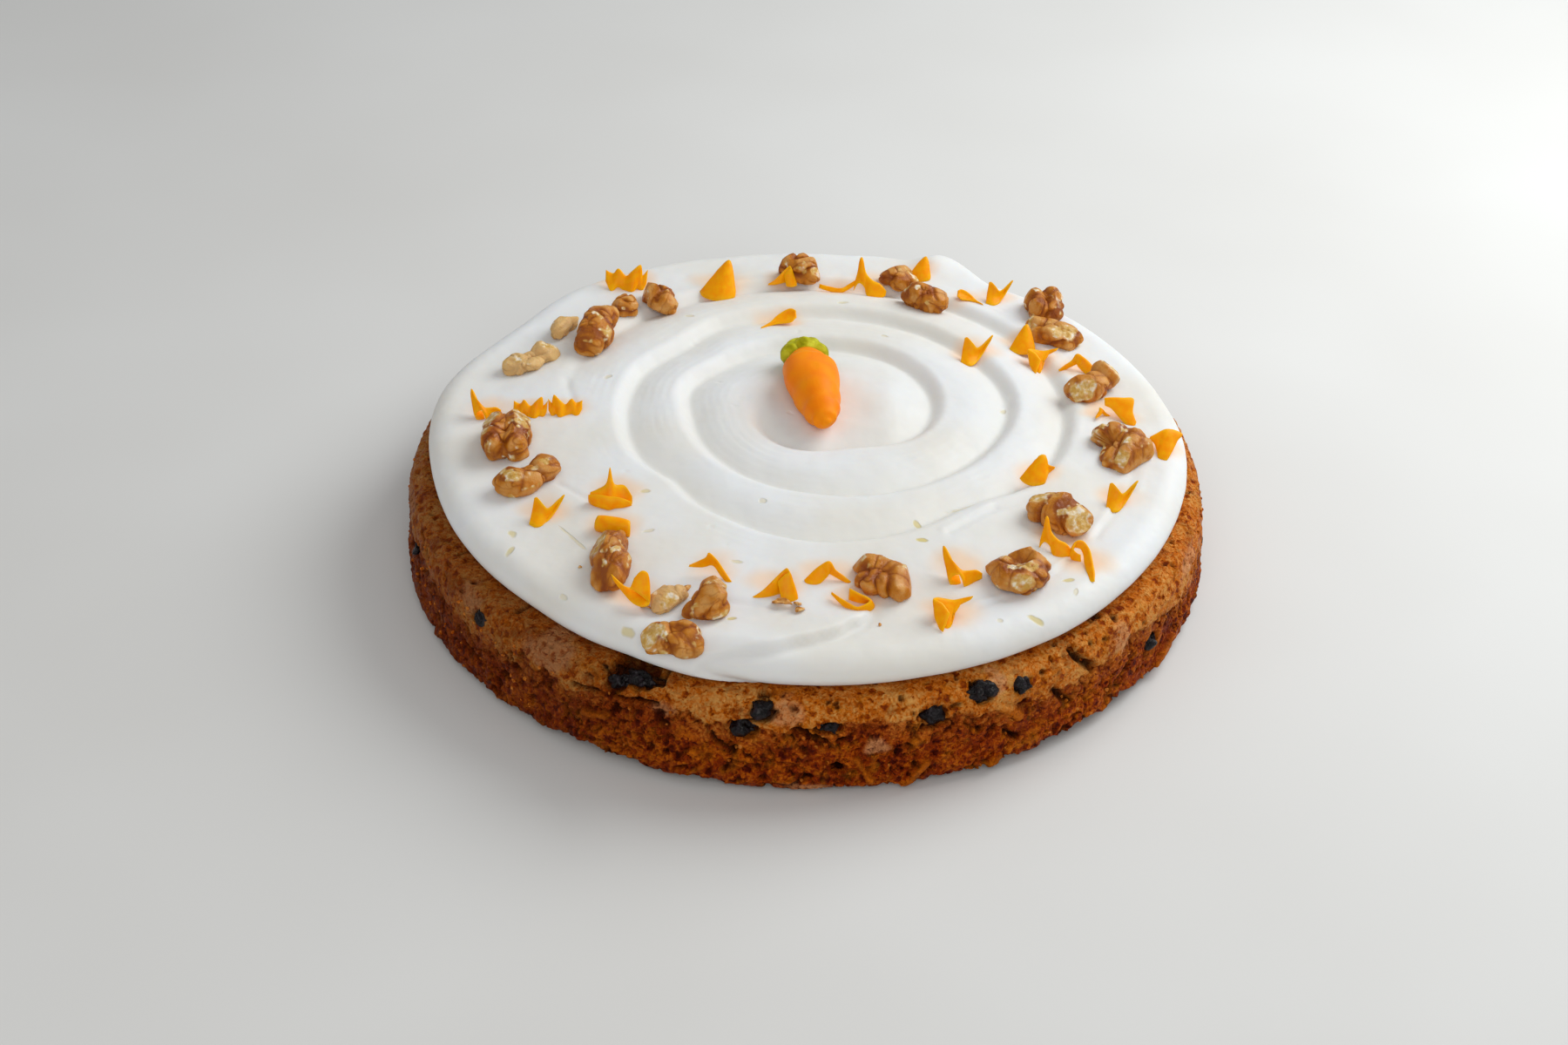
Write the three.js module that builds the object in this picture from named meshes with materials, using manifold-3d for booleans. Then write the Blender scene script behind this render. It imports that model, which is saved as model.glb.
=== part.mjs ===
// A round carrot cake: one baked layer with raisins at its side, a thick layer of cream
// cheese icing that a knife has swirled, walnut pieces, shaved carrot curls and a small
// marzipan carrot. Millimetres, +Z up. The cake stands on z = 0 with its axis at x = y = 0,
// and -Y is its front.

import * as THREE from "three";
import Module from "manifold-3d";

const wasm = await Module();
wasm.setup();

// ---------------------------------------------------------------- driving dimensions

const SPONGE_RADIUS = 125; // baked in a 250 mm round tin
const SPONGE_HEIGHT = 31;
const SPONGE_SEGMENTS = 88;
const CRAG_DEPTH = 1.1;

const ICING_RADIUS = 117.5;
const ICING_BASE = SPONGE_HEIGHT + 0.3;
const ICING_RIM_TOP = 42.6;
const ICING_CENTRE_TOP = 44.4;
const RIM_OVERHANG = 8; // how far the rim bulges out past the icing's foot
const ICING_TOLERANCE = 0.3; // how far its surface may move when its mesh is thinned out

const GROOVE_CENTRE = [7, 10];
const GROOVE_FIRST_RADIUS = 21;
const GROOVE_PITCH = 20.85;
const GROOVE_START = 169; // degrees about the groove's centre, counted on through its turns
const GROOVE_END = 1273;
const GROOVE_DEPTH = 3.2;
const GROOVE_LIP = 4.2; // width of the steep outer wall of the groove
const GROOVE_SLOPE = 13; // width of the gentle inner wall

const AIR = 0.35; // clearance between pieces that touch
const CURL_THICKNESS = 0.9;
const TOPPING_TOLERANCE = 0.18; // how far a topping's surface may move when it is thinned out

const colours = {
  sponge: 0xa8622a,
  icing: 0xf4f0e8,
  carrot: 0xf5820f,
  carrotTop: 0xa9ab24,
  walnut: 0xb47a42,
  curl: 0xff9a10,
};

// ---------------------------------------------------------------- small maths

const radians = THREE.MathUtils.degToRad;
const degrees = THREE.MathUtils.radToDeg;
const clamp = THREE.MathUtils.clamp;
const lerp = THREE.MathUtils.lerp;
const smoothstep = THREE.MathUtils.smoothstep;

// Value at x of a line through [x, value] points.
function along(points, x) {
  const next = points.findIndex((point) => point[0] > x);
  if (next === 0) return points[0][1];
  if (next < 0) return points[points.length - 1][1];
  const [x0, y0] = points[next - 1];
  const [x1, y1] = points[next];
  const t = (x - x0) / (x1 - x0);
  return lerp(y0, y1, t * t * (3 - 2 * t));
}

// Uneven value from -1 to 1 that is the same on every run.
function roughness(a, b, seed) {
  const wave = Math.sin(a * 127.1 + b * 311.7 + seed * 74.7) * 43758.5453;
  return 2 * (wave - Math.floor(wave)) - 1;
}

// ---------------------------------------------------------------- solids

function solidFrom(vertices, triangles) {
  return new wasm.Manifold(
    new wasm.Mesh({
      numProp: 3,
      vertProperties: new Float32Array(vertices.flat()),
      triVerts: new Uint32Array(triangles.flat()),
    }),
  );
}

// A closed solid of stacked closed rows, with one pole point before and one after them.
function stackedSolid(bottom, rows, top) {
  const count = rows[0].length;
  const vertices = [bottom, ...rows.flat(), top];
  const last = vertices.length - 1;
  const at = (row, k) => 1 + row * count + (k % count);
  const triangles = [];
  for (let k = 0; k < count; k += 1) {
    triangles.push([0, at(0, k + 1), at(0, k)]);
    triangles.push([last, at(rows.length - 1, k), at(rows.length - 1, k + 1)]);
    for (let row = 0; row + 1 < rows.length; row += 1) {
      triangles.push([at(row, k), at(row, k + 1), at(row + 1, k + 1)]);
      triangles.push([at(row, k), at(row + 1, k + 1), at(row + 1, k)]);
    }
  }
  return solidFrom(vertices, triangles);
}

// One turn of points around the vertical axis: point(angle in degrees, index).
function ring(count, point) {
  return Array.from({ length: count }, (_, k) => point((360 * k) / count, k));
}

function largestPiece(solid) {
  const pieces = solid.decompose();
  return pieces.reduce((best, piece) => (piece.volume() > best.volume() ? piece : best));
}

// A named mesh whose origin is the given place.
function meshOf(name, solid, colour, roughnessOfSurface, place = [0, 0, 0]) {
  const { vertProperties, triVerts } = solid.translate(place.map((v) => -v)).getMesh();
  const geometry = new THREE.BufferGeometry();
  geometry.setAttribute("position", new THREE.BufferAttribute(vertProperties, 3));
  geometry.setIndex(new THREE.BufferAttribute(triVerts, 1));
  geometry.computeVertexNormals();
  const material = new THREE.MeshStandardMaterial({
    color: colour,
    roughness: roughnessOfSurface,
    metalness: 0,
    flatShading: true,
  });
  const mesh = new THREE.Mesh(geometry, material);
  mesh.name = name;
  mesh.position.set(...place);
  return mesh;
}

// ---------------------------------------------------------------- sponge

// How far the side stands out from SPONGE_RADIUS at each height: a belly low down, a
// rounded shoulder at the top.
const spongeProfile = [
  [0, 0],
  [4, 1.3],
  [15, 0.4],
  [24, -0.4],
  [28, -1.8],
  [30.5, -4.2],
  [SPONGE_HEIGHT, -8],
];

// Raisins baked into the side: [degrees, height, half width, half height].
const raisins = [
  [-112, 29.5, 4.8, 2.2],
  [-114.4, 27.5, 3.4, 2.0],
  [-95, 27.6, 3.6, 2.6],
  [-97.1, 21.6, 4.0, 2.4],
  [-86.2, 23.4, 3.2, 2.0],
  [-72.6, 24.2, 3.6, 3.0],
  [-65.3, 26.6, 3.8, 2.6],
  [-59.4, 26.0, 2.4, 1.6],
  [-33, 14, 3.4, 2.4],
  [-12, 22, 3.0, 2.2],
  [8, 9, 3.6, 2.2],
  [24, 24, 3.8, 2.4],
  [47, 17, 3.2, 2.6],
  [70, 26, 3.6, 2.2],
  [83, 12, 3.4, 2.4],
  [104, 21, 4.0, 2.4],
  [126, 25, 3.2, 2.0],
  [149, 13, 3.6, 2.6],
  [168, 23, 3.4, 2.2],
  [197, 18, 3.8, 2.2],
  [221, 25, 3.0, 2.2],
];
const RAISIN_DEPTH = 2.4;
const RAISIN_SINK = 0.9; // its middle lies this far inside the side

function spongeRadius(angle, height) {
  const turn = radians(angle);
  const lean = 0.5 * Math.sin(3 * turn + 1) + 0.35 * Math.sin(7 * turn + 2 + height / 9);
  return SPONGE_RADIUS + along(spongeProfile, height) + lean;
}

function makeSponge() {
  const heights = [0, 3.5, 8.5, 14, 19.5, 24.5, 28.5, SPONGE_HEIGHT];
  const rows = heights.map((height, row) =>
    ring(SPONGE_SEGMENTS, (angle, k) => {
      const inside = row > 0 && row < heights.length - 1;
      const crag = inside ? CRAG_DEPTH * roughness(k, row, 1) : 0;
      const lift = inside ? 0.7 * roughness(k, row, 2) : 0;
      const radius = spongeRadius(angle, height) + crag;
      const turn = radians(angle);
      return [radius * Math.cos(turn), radius * Math.sin(turn), height + lift];
    }),
  );
  let sponge = stackedSolid([0, 0, 0], rows, [0, 0, SPONGE_HEIGHT]);
  const berry = new THREE.IcosahedronGeometry(1, 0);
  raisins.forEach(([angle, height, halfWidth, halfHeight], n) => {
    const solid = lumpSolid(berry, (d) => {
      const wrinkle = 1 + 0.16 * roughness(Math.round(d.x * 9), Math.round(d.y * 9 + d.z * 31), n);
      return [d.x * RAISIN_DEPTH * wrinkle, d.y * halfWidth * wrinkle, d.z * halfHeight * wrinkle];
    });
    const out = spongeRadius(angle, height) - RAISIN_SINK;
    const placed = solid.translate([out, 0, height]).rotate([0, 0, angle]);
    sponge = sponge.add(placed);
  });
  return sponge;
}

// A round solid whose surface is point(direction) for each corner of a sphere geometry.
function lumpSolid(sphere, point) {
  const position = sphere.getAttribute("position");
  const numbers = new Map();
  const vertices = [];
  const corners = [];
  for (let i = 0; i < position.count; i += 1) {
    const d = new THREE.Vector3().fromBufferAttribute(position, i).normalize();
    const key = d.toArray().map((v) => v.toFixed(4).replace("-0.0000", "0.0000")).join();
    if (!numbers.has(key)) {
      numbers.set(key, vertices.length);
      vertices.push(point(d));
    }
    corners.push(numbers.get(key));
  }
  const triangles = [];
  for (let i = 0; i < corners.length; i += 3) triangles.push(corners.slice(i, i + 3));
  return solidFrom(vertices, triangles);
}

// ---------------------------------------------------------------- icing

// Outline of the icing: [degrees, how far it stands out from ICING_RADIUS]. The bump near
// 68 degrees is where the knife left the cake.
const icingOutline = [
  [0, 1.3],
  [14, 0],
  [36, -0.5],
  [56, -2],
  [66, 5.5],
  [75, 0.5],
  [86, -1.8],
  [102, -1.5],
  [117, 0],
  [132, 1],
  [149, -2.2],
  [171, 1.8],
  [198, -1],
  [224, -1],
  [242, 1],
  [270, 2.4],
  [306, 2.2],
  [330, 0.8],
  [360, 1.3],
];

// Where the groove wanders off its spiral: [degrees, millimetres, width in degrees].
const grooveWander = [
  [285, -5.5, 30],
  [528, 3, 15],
  [725, 3, 25],
  [865, -3, 12],
  [942, -3, 9],
  [985, 3.2, 18],
  [1028, -4.5, 14],
];

function grooveRadius(turned) {
  const straight = GROOVE_FIRST_RADIUS + (GROOVE_PITCH * (turned - GROOVE_START)) / 360;
  return grooveWander.reduce(
    (sum, [at, shift, width]) => sum + shift * Math.exp(-(((turned - at) / width) ** 2)),
    straight,
  );
}

// The groove's turns seen from a point: how far outside each one the point lies.
function grooveTurns(x, y) {
  const dx = x - GROOVE_CENTRE[0];
  const dy = y - GROOVE_CENTRE[1];
  const angle = (degrees(Math.atan2(dy, dx)) + 360) % 360;
  const turns = [];
  for (let turned = angle; turned <= GROOVE_END; turned += 360) {
    turns.push({ turned, outside: Math.hypot(dx, dy) - grooveRadius(turned) });
  }
  return turns;
}

// How far below the swirl's crests the icing lies, from 0 to 1.
function grooveCut(x, y) {
  const cuts = grooveTurns(x, y).map(({ turned, outside }) => {
    const width = outside > 0 ? GROOVE_LIP : -GROOVE_SLOPE;
    const wall = clamp(1 - outside / width, 0, 1) ** (outside > 0 ? 1.5 : 1.8);
    const fadeIn = smoothstep(turned, GROOVE_START, GROOVE_START + 50);
    const fadeOut = 1 - smoothstep(turned, GROOVE_END - 70, GROOVE_END);
    return wall * fadeIn * fadeOut;
  });
  return Math.max(0, ...cuts);
}

// Moves a point that is within reach of the groove's crease onto it, so that the crease
// runs along edges of the mesh.
function snappedToGroove(x, y, reach) {
  const near = grooveTurns(x, y).find(({ outside }) => Math.abs(outside) < reach);
  if (!near) return [x, y];
  const dx = x - GROOVE_CENTRE[0];
  const dy = y - GROOVE_CENTRE[1];
  const scale = 1 - near.outside / Math.hypot(dx, dy);
  return [GROOVE_CENTRE[0] + dx * scale, GROOVE_CENTRE[1] + dy * scale];
}

function icingTop(x, y) {
  const distance = Math.hypot(x, y);
  const plain = lerp(ICING_CENTRE_TOP, ICING_RIM_TOP, smoothstep(distance, 60, 108));
  const crest = 0.9 * smoothstep(distance, 14, 30) * (1 - smoothstep(distance, 84, 104));
  const swell = 0.35 * Math.sin(x / 17 + 1.3) * Math.cos(y / 21 + 0.4);
  const hump = 1.6 * Math.exp(-(((x - 23) / 9) ** 2) - ((y - 10) / 10) ** 2);
  const tail = 2.6 * Math.exp(-(((x - 43) / 7) ** 2) - ((y - 106) / 7) ** 2);
  const depth = GROOVE_DEPTH * grooveCut(x, y) * (1 - smoothstep(distance, 98, 108));
  return plain + crest + swell + hump + tail - depth;
}

function makeIcing() {
  const segments = 240;
  const topRows = 96;
  const rimRows = 9;
  const rimRadius = (angle) => ICING_RADIUS + along(icingOutline, angle);
  const rimMiddle = (ICING_BASE + ICING_RIM_TOP) / 2;
  const rows = [];
  for (let row = 0; row < rimRows; row += 1) {
    const around = -Math.PI / 2 + (Math.PI * row) / rimRows;
    rows.push(
      ring(segments, (angle) => {
        const turn = radians(angle);
        const foot = rimRadius(angle) - RIM_OVERHANG;
        const radius = foot + RIM_OVERHANG * Math.cos(around);
        const edgeTop = icingTop(foot * Math.cos(turn), foot * Math.sin(turn));
        const half = around < 0 ? rimMiddle - ICING_BASE : edgeTop - rimMiddle;
        return [radius * Math.cos(turn), radius * Math.sin(turn), rimMiddle + half * Math.sin(around)];
      }),
    );
  }
  for (let row = 0; row < topRows; row += 1) {
    rows.push(
      ring(segments, (angle) => {
        const turn = radians(angle);
        const edge = rimRadius(angle) - RIM_OVERHANG;
        const radius = edge * (1 - row / topRows);
        const reach = (0.45 * edge) / topRows;
        const [x, y] = snappedToGroove(radius * Math.cos(turn), radius * Math.sin(turn), reach);
        return [x, y, icingTop(x, y)];
      }),
    );
  }
  const fine = stackedSolid([0, 0, ICING_BASE], rows, [0, 0, icingTop(0, 0)]);
  return fine.simplify(ICING_TOLERANCE);
}

// ---------------------------------------------------------------- marzipan carrot

const CARROT_TIP = [5.9, -9.5];
const CARROT_NECK = [-1.0, 28.5];
const CARROT_HEIGHT_RATIO = 0.86;
const CARROT_SINK = 2.2;

// Half width of the carrot from its tip (0) to its neck (1).
const carrotProfile = [
  [0, 1.6],
  [0.06, 3.9],
  [0.2, 6.0],
  [0.42, 7.9],
  [0.62, 8.8],
  [0.8, 8.5],
  [0.92, 6.6],
  [1, 5.2],
];

// Lumps of the green top: [across, along, up, radius], along the carrot from its neck.
const leafLumps = [
  [-3.8, 2.6, 0.2, 4.0],
  [0.4, 3.4, 1.0, 4.6],
  [4.0, 2.4, 0.0, 4.0],
  [-1.8, 5.2, 0.4, 3.9],
  [2.6, 5.6, 0.2, 3.8],
  [-0.6, 1.6, -1.6, 4.6],
];

function carrotPlace() {
  const [tipX, tipY] = CARROT_TIP;
  const [neckX, neckY] = CARROT_NECK;
  const length = Math.hypot(neckX - tipX, neckY - tipY);
  const yaw = degrees(Math.atan2(neckY - tipY, neckX - tipX)) - 90;
  const middle = [(tipX + neckX) / 2, (tipY + neckY) / 2];
  const biggest = Math.max(...carrotProfile.map((point) => point[1]));
  const height = icingTop(...middle) + biggest * CARROT_HEIGHT_RATIO - CARROT_SINK;
  return { length, yaw, centre: [...middle, height] };
}

function makeCarrotBody({ length, yaw, centre }) {
  const stops = [0, 0.035, 0.1, 0.2, 0.34, 0.48, 0.62, 0.75, 0.86, 0.94, 1];
  const rows = stops.map((stop) =>
    ring(20, (angle) => {
      const turn = radians(angle);
      const dent = 1 - 0.05 * Math.sin(2 * turn + 5 * stop) - 0.03 * Math.sin(3 * turn - 9 * stop);
      const half = along(carrotProfile, stop) * dent;
      const y = (stop - 0.5) * length;
      return [half * Math.cos(turn), y, -half * CARROT_HEIGHT_RATIO * Math.sin(turn)];
    }),
  );
  const body = stackedSolid([0, -0.5 * length - 0.8, 0], rows, [0, 0.5 * length + 1.5, 0]);
  return body.rotate([0, 0, yaw]).translate(centre);
}

function makeCarrotTop({ length, yaw, centre }) {
  const lumps = leafLumps.map(([across, behind, up, radius]) => {
    const ball = lumpSolid(new THREE.IcosahedronGeometry(1, 1), (d) => [
      d.x * radius,
      d.y * radius * 0.92,
      d.z * radius,
    ]);
    return ball.translate([across, length / 2 + behind, up]);
  });
  const top = wasm.Manifold.union(lumps);
  return top.asOriginal().simplify(TOPPING_TOLERANCE).rotate([0, 0, yaw]).translate(centre);
}

// ---------------------------------------------------------------- walnuts

// Each kind of piece is a few rounded lobes: [x, y, z, half sizes in x, y, z], as shares of
// the piece's half width, half length and height.
const nutKinds = {
  half: [
    [-0.5, 0.45, 0.35, 0.48, 0.52, 0.6],
    [-0.52, -0.35, 0.35, 0.46, 0.6, 0.55],
    [0.48, 0.5, 0.35, 0.5, 0.45, 0.6],
    [0.52, -0.12, 0.35, 0.45, 0.45, 0.62],
    [0.42, -0.62, 0.3, 0.42, 0.36, 0.5],
    [0, 0, 0.15, 0.6, 0.85, 0.35],
  ],
  smooth: [
    [0, 0.15, 0.3, 0.8, 0.75, 0.65],
    [0.3, -0.5, 0.25, 0.6, 0.5, 0.5],
    [-0.45, 0.45, 0.3, 0.5, 0.5, 0.55],
  ],
  ring: [
    [-0.62, 0.1, 0.35, 0.36, 0.36, 0.5],
    [-0.45, -0.45, 0.3, 0.36, 0.36, 0.5],
    [0.05, -0.62, 0.3, 0.38, 0.36, 0.55],
    [0.55, -0.35, 0.35, 0.4, 0.38, 0.55],
    [0.66, 0.2, 0.35, 0.34, 0.4, 0.6],
    [0.2, 0.6, 0.4, 0.42, 0.38, 0.6],
    [0.05, -0.05, 0.15, 0.6, 0.6, 0.42],
  ],
  hook: [
    [-0.66, 0.6, 0.35, 0.34, 0.32, 0.5],
    [-0.2, 0.66, 0.35, 0.45, 0.34, 0.55],
    [0.32, 0.45, 0.35, 0.42, 0.42, 0.6],
    [0.42, -0.05, 0.35, 0.36, 0.5, 0.55],
    [0.18, -0.62, 0.3, 0.28, 0.38, 0.5],
    [0.8, 0.05, 0.3, 0.3, 0.26, 0.4],
    [-0.35, -0.35, 0.1, 0.3, 0.5, 0.3],
    [0.05, 0.1, 0.1, 0.4, 0.4, 0.35],
  ],
  flat: [
    [-0.38, 0.32, 0.25, 0.58, 0.5, 0.55],
    [0.4, 0.18, 0.25, 0.55, 0.5, 0.5],
    [-0.05, -0.42, 0.2, 0.6, 0.45, 0.5],
    [0.58, -0.32, 0.2, 0.36, 0.38, 0.45],
  ],
  wedge: [
    [-0.5, -0.12, 0.35, 0.42, 0.8, 0.6],
    [0.32, 0.34, 0.35, 0.5, 0.5, 0.6],
    [0.62, -0.2, 0.3, 0.38, 0.5, 0.55],
    [0.3, -0.52, 0.3, 0.45, 0.4, 0.5],
  ],
  bar: [
    [0, 0.66, 0.3, 0.75, 0.36, 0.55],
    [-0.2, 0.18, 0.35, 0.7, 0.45, 0.6],
    [0.25, -0.2, 0.35, 0.65, 0.45, 0.6],
    [-0.1, -0.66, 0.3, 0.68, 0.36, 0.5],
    [-0.6, 0, 0.25, 0.36, 0.92, 0.5],
  ],
  bone: [
    [-0.6, -0.1, 0.3, 0.42, 0.62, 0.55],
    [0.58, 0.25, 0.35, 0.44, 0.58, 0.6],
    [0, 0.05, 0.2, 0.6, 0.36, 0.4],
    [-0.2, -0.35, 0.2, 0.5, 0.4, 0.4],
  ],
  upright: [
    [0.05, -0.3, 0.35, 0.75, 0.62, 0.6],
    [0.1, 0.4, 0.4, 0.55, 0.58, 0.6],
    [-0.7, -0.4, 0.12, 0.4, 0.3, 0.3],
  ],
  chip: [
    [-0.1, -0.1, 0.3, 0.82, 0.8, 0.6],
    [0.4, 0.45, 0.25, 0.5, 0.5, 0.5],
  ],
};

// The pieces: [x, y, kind, width, length, height, degrees turned].
const walnuts = [
  [-92, -17, "half", 15.5, 20, 9, 4],
  [-83, -37.5, "bone", 21, 16, 7.5, 24],
  [-89.5, 31, "bone", 20.5, 13.5, 6, 28],
  [-81, 53, "chip", 8, 16, 5.5, -14],
  [-69, 47, "bar", 13, 25, 8.5, -8],
  [-61.5, 66, "chip", 11, 12, 5.5, 30],
  [-50.5, 71, "smooth", 14, 13, 7, 0],
  [-4, 93, "smooth", 17, 12, 7.5, 0],
  [29.5, 90, "flat", 12.5, 14, 6, 30],
  [38.5, 75, "smooth", 18, 12, 7.5, 0],
  [79, 73.5, "half", 13, 15, 8, 10],
  [80.5, 56, "flat", 21, 14, 7, -20],
  [91.5, 24, "bone", 22, 16, 8, 34],
  [96.5, -13.5, "hook", 19, 21, 7, -8],
  [75.5, -51, "smooth", 17, 20, 8.5, 28],
  [61.8, -79, "ring", 18.5, 18, 7.5, 0],
  [22.5, -83.5, "flat", 20, 18, 6.5, -22],
  [-26, -97, "upright", 14, 16, 8.5, 0],
  [-38, -95, "chip", 10, 14, 5.5, -25],
  [-35.5, -111.5, "wedge", 18.5, 13.5, 7.5, -8],
  [-54.5, -80.5, "bar", 12.5, 25, 8, 3],
];
const NUT_BLEND = 0.12; // how softly the lobes run into each other
const NUT_SINK = 0.06; // share of a piece that lies below the icing's surface

// Distance-like value of the lobes at a point: negative inside.
function lobeField(lobes, x, y, z) {
  let sum = 0;
  for (const [cx, cy, cz, rx, ry, rz] of lobes) {
    const reach = Math.hypot((x - cx) / rx, (y - cy) / ry, (z - cz) / rz) - 1;
    sum += Math.exp(-(reach * Math.min(rx, ry, rz)) / NUT_BLEND);
  }
  return -NUT_BLEND * Math.log(sum);
}

// How far out the lobes reach from the piece's middle along a direction.
function lobeReach(lobes, middle, d) {
  const inside = (t) => lobeField(lobes, d.x * t, d.y * t, middle + d.z * t) < 0;
  let outer = 1.8;
  while (outer > 0.3 && !inside(outer)) outer -= 0.04;
  let inner = outer;
  outer += 0.04;
  for (let step = 0; step < 8; step += 1) {
    const half = (inner + outer) / 2;
    if (inside(half)) inner = half;
    else outer = half;
  }
  return inner;
}

function makeNut([, , kind, width, length, height, yaw], n) {
  const middle = 0.25;
  const detail = width * length > 280 ? 2 : 1;
  const solid = lumpSolid(new THREE.IcosahedronGeometry(1, detail), (d) => {
    const reach = lobeReach(nutKinds[kind], middle, d) * (1 + 0.04 * roughness(d.x * 5, d.y * 7, n));
    return [(d.x * reach * width) / 2, (d.y * reach * length) / 2, (middle + d.z * reach) * height];
  });
  return solid.rotate([0, 0, yaw]);
}

// ---------------------------------------------------------------- carrot curls

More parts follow.
